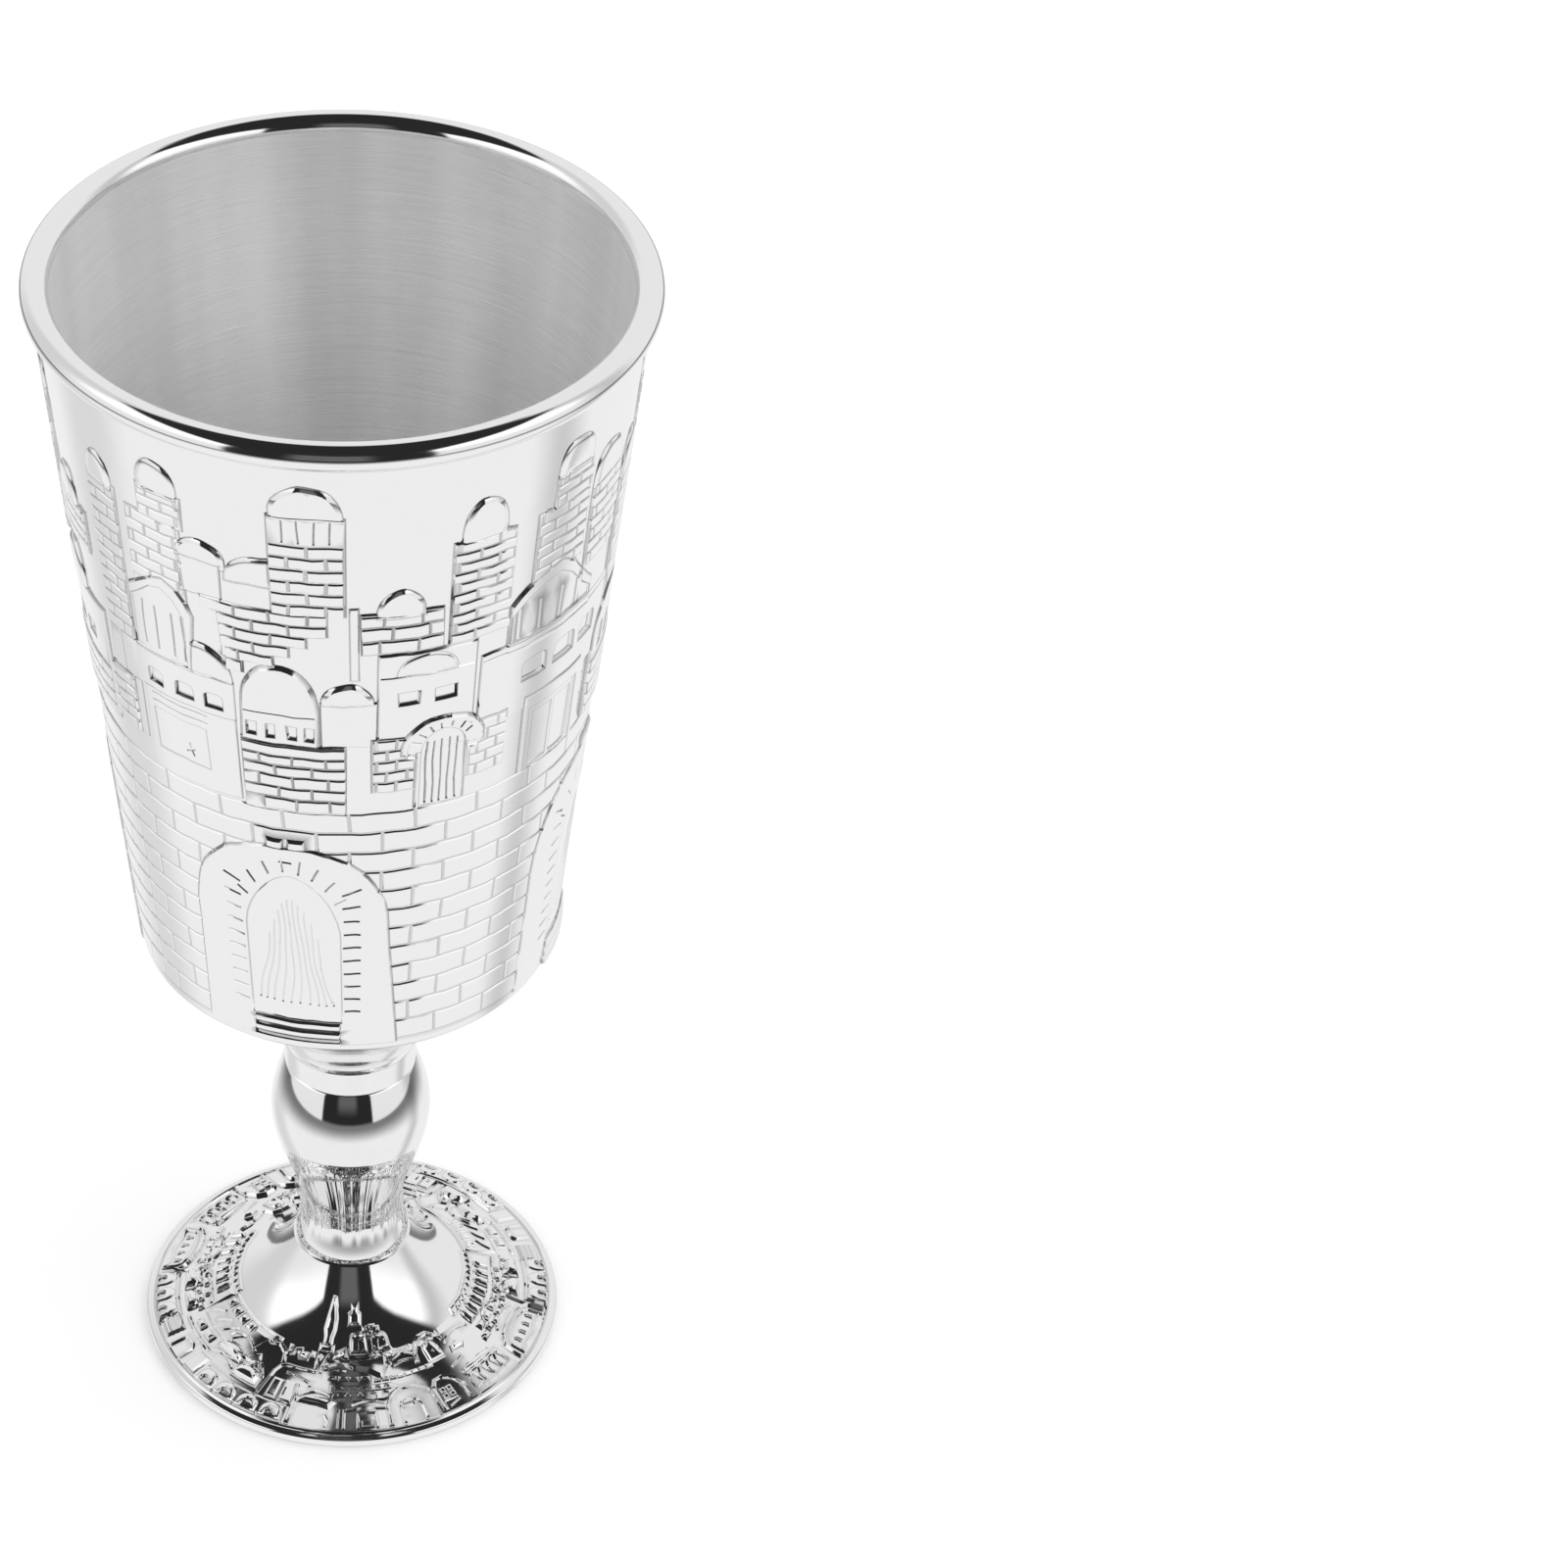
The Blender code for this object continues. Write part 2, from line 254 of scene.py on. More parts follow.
class Silverwork:
    """The surface of one piece, gathered from chased sheets and turned parts that share their border points."""

    def __init__(self, name):
        self.name = name
        self.points = []
        self.faces = []
        self.normals = []
        self.slots = []
        self.painted_shades = []

    def add(self, points, faces, normals, slot=0, painted_shade=None):
        """Triangles with a normal at each corner, and at each point a painted shade from 0 to 1 that darkens the
        silver's colour in creases and recesses.
        """
        self.faces.append(faces + sum(map(len, self.points)))
        self.points.append(points)
        self.normals.append(normals)
        self.slots.append(np.full(len(faces), slot))
        self.painted_shades.append(np.zeros(len(points)) if painted_shade is None else painted_shade)

    def turned(self, profile, slot=0, painted_shade=None):
        """A part turned round the cup's axis. The open side is at the left hand when going along the profile."""
        profile = np.array(profile, float)
        along = np.gradient(profile, axis=0)
        left = unit(np.stack([-along[:, 1], along[:, 0]], axis=1))
        turn = radians(360 / ROUND) * np.arange(ROUND)
        ring = np.stack([np.sin(turn), -np.cos(turn)], axis=1)
        points = np.concatenate([
            np.column_stack([ring * radius, np.full(ROUND, height)]) for radius, height in profile
        ])
        normals = np.concatenate([np.column_stack([ring * out, np.full(ROUND, up)]) for out, up in left])
        i, j = np.meshgrid(np.arange(len(profile) - 1), np.arange(ROUND), indexing="ij")
        a = (i * ROUND + j).ravel()
        b = (i * ROUND + (j + 1) % ROUND).ravel()
        faces = np.concatenate([np.stack([a, a + ROUND, b + ROUND], 1), np.stack([a, b + ROUND, b], 1)])
        self.add(points, faces, normals[faces], slot, None if painted_shade is None else np.repeat(painted_shade, ROUND))

    def made(self, *materials):
        """One closed mesh object in metres, with the normals as they were worked out."""
        points = np.concatenate(self.points)
        faces = np.concatenate(self.faces)
        normals = np.concatenate(self.normals)
        slots = np.concatenate(self.slots)
        painted_shades = np.concatenate(self.painted_shades)
        _, first, index = np.unique(np.round(points, 5), axis=0, return_index=True, return_inverse=True)
        faces = index.reshape(-1)[faces]
        whole = (faces[:, 0] != faces[:, 1]) & (faces[:, 1] != faces[:, 2]) & (faces[:, 0] != faces[:, 2])
        mesh = bpy.data.meshes.new(self.name)
        mesh.from_pydata((points[first] * MM).tolist(), [], faces[whole].tolist())
        mesh.shade_smooth()
        mesh.polygons.foreach_set("material_index", slots[whole].astype(np.int32))
        depth = mesh.attributes.new("painted_shade", "FLOAT", "POINT")
        depth.data.foreach_set("value", painted_shades[first].astype(np.float32))
        mesh.normals_split_custom_set(unit(normals[whole]).reshape(-1, 3).tolist())
        for material in materials:
            mesh.materials.append(material)
        piece = bpy.data.objects.new(self.name, mesh)
        bpy.context.scene.collection.objects.link(piece)
        return piece


class Value:
    """A socket of a shader that takes part in sums."""

    def __init__(self, tree, socket):
        self.tree = tree
        self.socket = socket

    def node(self, kind, settings=None, **inputs):
        """Adds a node, sets its settings and then its sockets, and gives its first output."""
        made = self.tree.nodes.new(kind)
        for name, setting in (settings or {}).items():
            setattr(made, name, setting)
        for name, given in inputs.items():
            key = int(name[1:]) if name[1:].isdigit() else name.replace("_", " ")
            if isinstance(given, Value):
                self.tree.links.new(given.socket, made.inputs[key])
            else:
                made.inputs[key].default_value = given
        return Value(self.tree, made.outputs[0])

    def sum(self, operation, *values):
        inputs = {f"i{i}": value for i, value in enumerate(values)}
        return self.node("ShaderNodeMath", {"operation": operation}, **inputs)

    def __add__(self, other):
        return self.sum("ADD", self, other)

    def __sub__(self, other):
        return self.sum("SUBTRACT", self, other)

    def __rsub__(self, other):
        return self.sum("SUBTRACT", other, self)

    def __mul__(self, other):
        return self.sum("MULTIPLY", self, other)

    __radd__ = __add__
    __rmul__ = __mul__

    def output(self, name):
        """Another output of the same node."""
        return Value(self.tree, self.socket.node.outputs[name])

    def into(self, node, name):
        self.tree.links.new(self.socket, node.inputs[name])

    def noise(self, scale, detail, roughness=0.5):
        """Cloudy values from 0 to 1 at this place."""
        return self.node("ShaderNodeTexNoise", Vector=self, Scale=scale, Detail=detail, Roughness=roughness)

    def rising(self, low, high):
        """0 up to low and 1 from high on, with a soft step between them."""
        return self.node(
            "ShaderNodeMapRange", {"interpolation_type": "SMOOTHSTEP"}, Value=self, From_Min=low, From_Max=high
        )

    def shades(self, *stops):
        """Greys for this value, from stops that are each a value and a shade."""
        made = self.node("ShaderNodeValToRGB", Fac=self)
        marks = made.socket.node.color_ramp.elements
        while len(marks) < len(stops):
            marks.new(0.5)
        for mark, (position, shade) in zip(marks, stops):
            mark.position = position
            mark.color = (shade, shade, shade, 1.0)
        return made


def metal(name):
    """A bare metal material: its shader node, and the place on the piece in millimetres."""
    material = bpy.data.materials.new(name)
    material.use_nodes = True
    shader = material.node_tree.nodes["Principled BSDF"]
    shader.inputs["Metallic"].default_value = 1.0
    metres = Value(material.node_tree, None).node("ShaderNodeTexCoord").output("Object")
    place = metres.node("ShaderNodeMapping", Vector=metres, Scale=(1 / MM, 1 / MM, 1 / MM))
    return material, shader, place


def chased_silver(name, polish, recess_shade):
    """Polished silver darkened with painted shade in its creases and recesses, with fine wiping marks."""
    material, shader, place = metal(name)
    painted_shade = place.node("ShaderNodeAttribute", {"attribute_name": "painted_shade"}).output("Fac")
    # Painted shade: the colour is darkened in creases and recesses by the shade value, a little unevenly.
    dark = painted_shade * (0.6 + 0.5 * place.noise(4.0, 2)) * recess_shade
    dark.shades((0.0, 0.95), (1.0, 0.25)).into(shader, "Base Color")
    rough = polish + 0.04 * place.noise(0.35, 3) + 0.15 * dark
    rough.into(shader, "Roughness")
    bump = place.node("ShaderNodeBump", Height=place.noise(0.16, 1), Strength=0.35, Distance=0.1 * MM)
    bump.into(shader, "Normal")
    return material


def box(left, right, low, high):
    return [(left, low), (right, low), (right, high), (left, high)]


def arch(left, right, low, spring, top, steps=14, power=2.0):
    """An opening or a wall with a rounded top. A power above 2 gives squarer shoulders."""
    middle = (left + right) / 2
    half = (right - left) / 2
    outline = [(left, low), (right, low)]
    for share in shares(steps):
        across = cos(pi * share)
        up = sin(pi * share)
        across = np.sign(across) * abs(across) ** (2 / power)
        outline.append((middle + half * across, spring + (top - spring) * up ** (2 / power)))
    return outline


def foot_height(radius):
    share = np.clip((FOOT_RADIUS - radius) / (FOOT_RADIUS - FOOT_SEAT), 0, 1)
    return FOOT_EDGE + (FOOT_HEIGHT - FOOT_EDGE) * ((1 - FOOT_LEAN) * share**FOOT_CURVE + FOOT_LEAN * share)


def foot_slope(radius):
    share = np.clip((FOOT_RADIUS - radius) / (FOOT_RADIUS - FOOT_SEAT), 0, 1)
    steepness = (1 - FOOT_LEAN) * FOOT_CURVE * share ** (FOOT_CURVE - 1) + FOOT_LEAN
    return -(FOOT_HEIGHT - FOOT_EDGE) * steepness / (FOOT_RADIUS - FOOT_SEAT)


def plan(places):
    """Degrees and radius to the foot seen from above."""
    turn = np.radians(places[:, 0])
    return np.stack([places[:, 1] * np.sin(turn), -places[:, 1] * np.cos(turn)], axis=1)


def ring_points(radius, count=ROUND):
    return plan(np.column_stack([np.arange(count) * 360 / count, np.full(count, radius)]))


def windows(work, left, right, count, low, high, depth=0.15):
    wide = (right - left) / count
    for i in range(count):
        start = left + wide * (i + 0.2)
        end = left + wide * (i + 0.8)
        # Each window is painted dark inside, as shade in its recess.
        work.press(arch(start, end, low, low + (high - low) * 0.6, high, 6), depth, 0.1, dark=0.6)


def arcade(work, left, right, count, low, high, level=0.45):
    """A row of arched openings under a roof line. On the foot, high is the smaller radius."""
    work.lift(box(left, right, low, high), level, 0.3)
    wide = (right - left) / count
    deep = high - low
    for i in range(count):
        start = left + wide * i
        outer = arch(start + wide * 0.06, start + wide * 0.94, low, low + deep * 0.4, high + 0.25, 10)
        work.swell(outer, level - 0.1, level + 0.22, 0.4)
        inner = arch(start + wide * 0.24, start + wide * 0.76, low - 0.1, low + deep * 0.3, low + deep * 0.5, 8)
        # Each opening is painted dark inside, as shade in its recess.
        work.press(inner, 0.4, 0.12, dark=0.8)
    work.ridge(bent(left, right, high, high), 0.2, 0.35)


def bent(left, right, ends, middle):
    """Points of a line that bows from its ends to its middle."""
    return [(left + (right - left) * t, ends + (middle - ends) * sin(pi * t)) for t in shares(12)]


def doorway(work, left, right, low, spring, top, level, width=0.5):
    """A rounded rib in the form of an arch, standing on the foot's border."""
    half = (low + spring) / 2
    top_arc = arch(left, right, low, spring, top)[2:]
    work.ridge([(right, low), (right, half), *top_arc, (left, half), (left, low)], level, width)


def foot_town(work):
    """Houses at the foot's edge, facing out, with domes, towers and roofs behind them up the slope."""
    lift, swell, press, ridge = work.lift, work.swell, work.press, work.ridge
    lift(box(-76, -39, 17.8, 13.5), 0.22, 0.3)
    ridge(bent(-76, -36, 13.7, 13.6), 0.2, 0.4)
    for a in (-74, -68, -62, -56):
        swell(box(a, a + 4.4, 15 + (a % 3) * 0.1, 14), 0.1, 0.55, 0.35)
        ridge([(a, 17), (a + 2.2, 16.2), (a + 5, 15.6)], 0.2, 0.4)
    ridge(bent(-58, -43, 16.6, 15.6), 0.25, 0.45)
    swell(arch(-58, -45, 18.8, 18.2, 16.9, 12), 0, 1, 1.1)
    ridge(bent(-59, -46, 19.6, 18.8), 0.2, 0.4)
    ridge(bent(-76, -58, 19.8, 19.8), 0.25, 0.5)
    for a, b, r in ((-72, -68, 18.3), (-65.4, -61.2, 18.2)):
        swell(box(a, b, 19.2, r), 0.1, 0.6, 0.35)
    swell(arch(-45, -34, 20.3, 19.2, 17.9, 12), 0, 1.05, 1.1)
    ridge([(-44.5, 18.4), (-41, 17.6), (-38, 17.2), (-34, 18.8)], 0.25, 0.45)
    ridge([(-45, 17.6), (-43.5, 15.9), (-41, 14.6), (-36, 14.2), (-31.5, 14.9), (-30.2, 16)], 0.3, 0.6)
    ridge([(-43, 17), (-40.4, 16.4), (-38.6, 17.4), (-36.4, 18.2)], 0.25, 0.45)
    lift(box(-79, -71.4, 22.9, 20.6), 0.35, 0.3)
    for r in (21, 21.6, 22.2):
        ridge(bent(-80, -72, r, r), 0.15, 0.3)
    doorway(work, -68.2, -62.4, 23, 21.4, 20.7, 0.3, 0.45)
    lift(box(-59.4, -54.2, 23, 20.4), 0.4, 0.3)
    arcade(work, -53, -21.4, 4, 23.2, 20.9)
    ridge([(-33, 20.6), (-32.3, 18.6), (-31.8, 17.2), (-30.4, 16.4), (-28, 16.1), (-22, 16.1),
           (-15.5, 16.1)], 0.3, 0.5)
    swell(box(-30.2, -26, 20.6, 18), 0.15, 0.55, 0.35)
    press(box(-28.7, -27.5, 20, 19.2), 0.4, 0.1, dark=1)
    swell(box(-25.4, -20.4, 20.8, 17.9), 0.15, 0.55, 0.35)
    press(box(-24.6, -23.7, 20, 18.9), 0.4, 0.1, dark=1)
    ridge([(-27, 16.9), (-25, 16.9), (-21, 17.1), (-17, 17.5), (-16.2, 18)], 0.2, 0.4)
    ridge([(-29.6, 15), (-28, 14.8), (-27.6, 14), (-25, 13.8), (-22.6, 14.3)], 0.25, 0.4)
    swell(box(-24.6, -20.6, 15, 14.1), 0.1, 0.6, 0.3)
    swell(box(-19.8, -17.2, 14.7, 13.8), 0.1, 0.6, 0.3)
    ridge(bent(-19.8, -6, 19.3, 18.4), 0.35, 0.5)
    swell([(-18.6, 20), (-12, 20.1), (-8.4, 20.4), (-6.2, 19.6), (-9, 19.2), (-13, 19.1),
           (-17, 19.3)], 0.1, 0.75, 0.4)
    ridge([(-20, 23), (-20, 21.5), (-20, 20), (-19.8, 19.4)], 0.35, 0.6)
    ridge([(-9.2, 21.2), (-8, 22), (-8.6, 22.8)], 0.12, 0.35)
    swell([(-16.6, 11.4), (-16, 10.4), (-15, 9.4), (-14, 8.8), (-12, 8.8), (-10.6, 9.4), (-9.6, 10.4), (-9.8, 11.4),
           (-11, 12.2), (-11, 13), (-15.2, 13), (-15.4, 12.2)], 0.1, 0.6, 0.5)
    press(box(-13.9, -12.3, 10.9, 10.5), 0.2, 0.12, dark=0.6)
    swell(box(-16.8, -9.8, 13.8, 12.9), 0.1, 0.6, 0.35)
    ridge([(-16.2, 14), (-16.4, 15), (-16, 16)], 0.25, 0.4)
    ridge([(-13.6, 16.2), (-13.6, 15.2), (-12.2, 14.2), (-11.6, 13.8)], 0.25, 0.4)
    lift([(-9.6, 14.4), (-8.6, 13.4), (-3.4, 12.9), (-2.2, 13.8), (2, 14.2), (8.6, 14.1), (9.8, 13), (12, 13.6),
          (15.8, 14.3), (15, 15.5), (11.6, 17), (6, 15.9), (0, 15.6), (-4, 15)], 0.4, 0.5)
    for outer, inner in (
        ((-1.9, 7.8, 13.9, 12.7, 11.6), (2.2, 5.4, 13.5, 12.6, 12.2)),
        ((8.8, 18.6, 13.6, 12.6, 11.8), (12.4, 16.4, 13.4, 12.8, 12.3)),
    ):
        swell(arch(*outer, 10, 3), 0.1, 0.75, 0.45)
        press(arch(*inner, 8), 0.2, 0.14, dark=0.3)
    swell([(-2.8, 11), (-2.8, 10), (-1, 9.8), (-0.8, 9.2), (3.8, 9.2), (4, 9.8), (5.2, 10),
           (4.8, 11)], 0.1, 0.55, 0.35)
    for a, b, r in ((5.8, 8.2, 11.3), (9, 12.6, 11.2), (13.2, 15, 11.4), (8, 11, 11.8)):
        swell(box(a, b, r + 0.2, r - 0.15), 0.05, 0.35, 0.16)
    ridge(bent(-12.4, 0, 15.4, 14.9), 0.25, 0.4)
    ridge(bent(-12.6, -3, 15.7, 15.5), 0.25, 0.35)
    ridge(bent(17, 28.4, 15, 14.4), 0.3, 0.4)
    ridge(bent(16.6, 28, 15.7, 15.3), 0.25, 0.4)
    for a in (-10, -5.6, -1.6, 2.9):
        swell(box(a, a + 3.4, 16.8, 16.35), 0.05, 0.4, 0.2)
    lift([(-9, 19.3), (-9, 17.4), (14, 17.4), (18.5, 18.2), (12.5, 19.2), (11, 19.6)], 0.3, 0.25)
    for i in range(8):
        swell(box(8.2 + 3.1 * i, 10.8 + 3.1 * i, 17.1, 16.75), 0.05, 0.4, 0.16)
    windows(work, -9, 14, 7, 18.1, 17.65, 0.35)
    windows(work, -8.6, 13.6, 5, 19.25, 18.35, 0.4)
    ridge(bent(-9, 14, 18.25, 18.2), 0.15, 0.3)
    ridge(bent(-0.6, 10.4, 19.9, 19.4), 0.3, 0.35)
    ridge(bent(-2.6, 10.6, 20.5, 20.3), 0.35, 0.45)
    ridge([(-3, 20.4), (-3, 21.6), (-3, 23)], 0.35, 0.4)
    ridge([(-4.8, 20.4), (-4.8, 21.6), (-4.8, 23)], 0.2, 0.3)
    ridge([(10.8, 20.2), (11, 21.6), (10.8, 23)], 0.35, 0.4)
    ridge([(1.3, 23), (1.3, 21.8), (1.3, 20.95), (4.2, 20.85), (7, 20.95), (7, 21.8), (7, 23)], 0.35, 0.45)
    lift(box(2.2, 6.2, 22.9, 21.9), 0.4, 0.2)
    doorway(work, 11.4, 27.2, 23, 20.6, 18.4, 0.4)
    doorway(work, 15.4, 22.2, 22.9, 21, 20, 0.35, 0.4)
    swell([(15.6, 20.9), (15.8, 20.1), (18, 19.9), (20.4, 20.2), (19.4, 20.8)], 0.1, 0.5, 0.25)
    ridge([(28.4, 23), (28.4, 21.5), (28.4, 19.6), (29.8, 18.9), (33, 18.8), (36.2, 19.4), (37.6, 20.4),
           (38.2, 21.6), (38.2, 23)], 0.4, 0.6)
    lift(box(36.6, 39.2, 23, 20.6), 0.45, 0.25)
    for a, r in ((29.2, 20.1), (31.6, 20.1), (29.2, 20.95), (31.6, 20.95)):
        swell(box(a, a + 2.2, r + 0.8, r), 0.1, 0.55, 0.3)
    ridge([(29.8, 22.6), (31.8, 22.35), (34.2, 22.1)], 0.25, 0.3)
    ridge([(27.6, 16.2), (28.4, 15), (30.6, 14.1), (34, 13.5), (38.4, 13.5), (41.6, 14.1), (43.2, 15.1)], 0.4, 0.6)
    swell(arch(32.4, 39.4, 16.8, 15.2, 14.3, 10), 0.1, 0.5, 0.5)
    press(arch(34.6, 36.8, 16.3, 15.9, 15.5, 8), 0.4, 0.12, dark=0.8)
    ridge(bent(42.6, 58, 15.6, 14.9), 0.3, 0.4)
    swell([(43, 17), (44, 16.2), (47.6, 16), (50.4, 16.6), (48, 17.2)], 0.1, 0.6, 0.4)
    ridge([(38.8, 18.4), (41, 18.2), (45, 17.9)], 0.25, 0.4)
    swell(arch(40.4, 56.4, 19.9, 19.6, 19, 10), 0.1, 0.6, 0.45)
    ridge(bent(40.4, 57, 20, 20), 0.2, 0.3)
    for a in (40.8, 45.2, 49.2, 53.2):
        ridge([(a, 22), (a, 20.9), (a + 1, 20.3), (a + 2.6, 20.3), (a + 3, 21), (a + 2.8, 22),
               (a, 22.05)], 0.35, 0.34)
    ridge(bent(40.2, 57, 22.9, 22.9), 0.25, 0.35)
    swell(box(57.4, 60.4, 18.6, 18.1), 0.1, 0.4, 0.2)


def foot_quarter(work):
    """More of the same town: a hall with a great arch between rows of small houses."""
    swell, ridge = work.swell, work.ridge
    ridge([(57.6, 13.9), (59, 13.2), (70, 13.3), (88, 13.3), (103, 13.4)], 0.25, 0.4)
    for i in range(7):
        a = 60 + 5.6 * i
        swell(arch(a, a + 4.2, 16, 15.1, 14.2, 8), 0.05, 0.5, 0.4)
        swell(box(a + 0.4, a + 3.8, 17.4, 16.6), 0.05, 0.4, 0.25)
    ridge(bent(62, 80, 17.6, 16.2), 0.3, 0.45)
    ridge(bent(64, 78, 18.9, 18.1), 0.25, 0.4)
    doorway(work, 59.6, 80.4, 23, 21.4, 19.4, 0.4, 0.6)
    doorway(work, 61.6, 78.4, 23, 21.5, 20, 0.25, 0.35)
    for a, b, top in ((82, 91, 17.7), (92.4, 101, 17.9)):
        swell(arch(a, b, 19.8, 19, top, 10), 0, 0.95, 1)
    arcade(work, 82, 101.6, 3, 23.1, 20.6)
    for i in range(11):
        a = 58 + 4.2 * i
        swell(box(a, a + 3, 18.5 - 0.2 * (i % 2), 17.8 - 0.2 * (i % 2)), 0.05, 0.45, 0.28)
        ridge([(a + 0.3, 14), (a + 1.6, 13.6), (a + 3.4, 14)], 0.22, 0.3)
    ridge([(61.6, 22.6), (65, 22.3), (70, 22.5), (75, 22.2), (78.4, 22.5)], 0.2, 0.3)
    windows(work, 63, 77.6, 4, 21.9, 20.9, 0.35)
    ridge([(80.8, 23), (80.8, 21), (81.4, 19.2), (83, 17), (86, 16.6)], 0.3, 0.4)
    ridge(bent(86, 102, 16.9, 16.6), 0.25, 0.4)


town = Chasing(plan, step=4.0)
for turn in (0.0, 180.0):
    town.turn = turn
    foot_quarter(town)
    foot_town(town)
town.line([(a, BORDER) for a in shares(120, 0.0, 357.0)], -0.16, 0.5)
filling = np.concatenate([ring_points(radius, 180) for radius in np.arange(7.3, 23.5, 0.8)])
borders = [(ring_points(FOOT_SEAT), True), (ring_points(RELIEF_OUTER), True)]


def between_rings(centres):
    radius = np.hypot(*centres.T)
    return (radius > FOOT_SEAT) & (radius < RELIEF_OUTER)


flat, rise, dark, faces = town.worked(borders, filling, between_rings)
# The ground between the houses stands out in a slight step from the smooth middle, and sinks towards the edge.
rise = rise + np.interp(np.hypot(*flat.T), [14.0, 14.5, 23.2, 23.7], [0.0, 0.28, -0.05, 0.0])


def directions(turn):
    """Outward and sideways at each angle round the cup, and up."""
    level = np.zeros(len(turn))
    out = np.column_stack([np.sin(turn), -np.cos(turn), level])
    around = np.column_stack([np.cos(turn), np.sin(turn), level])
    return out, around, np.array([0.0, 0.0, 1.0])


def on_trumpet(flat, rise, faces):
    """The foot's sheet laid on its slope."""
    radius = np.hypot(*flat.T)
    turn = np.arctan2(flat[:, 0], -flat[:, 1])
    step = radians(360 / ROUND)
    near = np.round(turn / step) * step
    for edge in (FOOT_SEAT, RELIEF_OUTER):
        rim = (np.abs(radius - edge) < NEAR) & (np.abs(near - turn) < NEAR / 2)
        radius = np.where(rim, edge, radius)
        turn = np.where(rim, near, turn)
        rise = np.where(rim, 0.0, rise)
    slope = foot_slope(radius)
    long = np.sqrt(1 + slope**2)
    out, around, up = directions(turn)
    outward = (up - out * slope[:, None]) / long[:, None]
    down = (out + up * slope[:, None]) / long[:, None]
    points = out * radius[:, None] + up * foot_height(radius)[:, None] + outward * rise[:, None]
    normals = sheet_normals(flat, rise, faces)
    across = np.sum(normals[..., :2] * around[faces][..., :2], axis=2)
    along = np.sum(normals[..., :2] * out[faces][..., :2], axis=2) / long[faces]
    turned = across[..., None] * around[faces] + along[..., None] * down[faces]
    return points, unit(turned + normals[..., 2:] * outward[faces])


foot = Silverwork("town_foot")
points, normals = on_trumpet(flat, rise, faces)
foot.add(points, faces, normals, painted_shade=dark)
foot.turned([(0.0, FOOT_HEIGHT), (FOOT_SEAT * 0.5, FOOT_HEIGHT), (FOOT_SEAT, FOOT_HEIGHT)])
edge = []
for turn in (0, 20, 45, 70, 90):
    across = EDGE_ROUNDING * (sin(radians(turn)) - 1)
    up = EDGE_ROUNDING * (cos(radians(turn)) - 1)
    edge.append((FOOT_RADIUS + across, FOOT_EDGE + up))
foot.turned([(RELIEF_OUTER, float(foot_height(RELIEF_OUTER))), *edge])
base = [(FOOT_RADIUS, BASE_ROUNDING), (FOOT_RADIUS - 0.08, 0.07), (FOOT_RADIUS - BASE_ROUNDING, 0.0)]
foot.turned([edge[-1], base[0]])
foot.turned(base)
foot.turned([base[-1], (RING_INNER, 0.0)])
ceiling = FOOT_HEIGHT - FOOT_WALL * 1.2
inside = []
for radius in np.linspace(RING_INNER, FOOT_SEAT, 24):
    steepness = float(foot_slope(radius))
    long = hypot(1, steepness)
    under = (float(radius + FOOT_WALL * steepness / long), float(foot_height(radius) - FOOT_WALL / long))
    if under[0] < RING_INNER and under[1] < ceiling:
        inside.append(under)
foot.turned([(RING_INNER, 0.0), (RING_INNER, 0.3), inside[0]])
foot.turned([*inside, (inside[-1][0] - 0.5, ceiling), (0.0, ceiling)])

foot_silver = chased_silver("chased silver of the foot", 0.05, 0.45)
foot_piece = foot.made(foot_silver)
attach(foot_piece, "root")
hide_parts("foot")

# ---- The stem
# A turned baluster of solid silver with a high round knop and a plain collar under the bowl, mirror polished.
# It is soldered between the foot's seat and the underside of the bowl.

STEM_LENGTH = 30.7
STEM_BASE = 6.58
WAIST = 5.93
WAIST_RISE = 5.2
KNOP = 9.12
KNOP_RISE = 20.5
NECK = 7.35
COLLAR = 7.53
COLLAR_HEIGHT = 3.1
NECK_RISE = STEM_LENGTH - COLLAR_HEIGHT
NECK_CURVE = 1.75
SOLDER = 0.02


def ease(share):
    """A cosine step from 0 to 1 with level ends."""
    return 0.5 - 0.5 * cos(pi * share)


def stem_radius(rise):
    if rise < WAIST_RISE:
        return STEM_BASE + (WAIST - STEM_BASE) * ease(rise / WAIST_RISE)
    if rise < KNOP_RISE:
        return WAIST + (KNOP - WAIST) * ease((rise - WAIST_RISE) / (KNOP_RISE - WAIST_RISE))
    return KNOP + (NECK - KNOP) * ((rise - KNOP_RISE) / (NECK_RISE - KNOP_RISE)) ** NECK_CURVE


stem = Silverwork("baluster_stem")
base = (STEM_BASE, FOOT_HEIGHT + SOLDER)
stem.turned([base, (0.0, base[1])])
rises = [*shares(12, SOLDER, WAIST_RISE), *shares(40, WAIST_RISE, KNOP_RISE)[1:], *shares(26, KNOP_RISE, NECK_RISE)[1:]]
body = [base, *[(stem_radius(rise), FOOT_HEIGHT + rise) for rise in rises[1:]]]
groove = []
for share in shares(5):
    rise = NECK_RISE - 0.4 * (1 - share)
    groove.append((stem_radius(rise) - 0.3 * share**2, FOOT_HEIGHT + rise))
body = [point for point in body if point[1] < groove[0][1] - 0.05] + groove
stem.turned(body[::-1])
top = FOOT_HEIGHT + STEM_LENGTH - SOLDER
collar_base = FOOT_HEIGHT + NECK_RISE
stem.turned([(COLLAR, collar_base + 0.06), (COLLAR - 0.06, collar_base), groove[-1]])
stem.turned([(COLLAR - 0.1, top), (COLLAR, top - 0.1), (COLLAR, collar_base + 0.06)])
stem.turned([(0.0, top), (COLLAR - 0.1, top)])


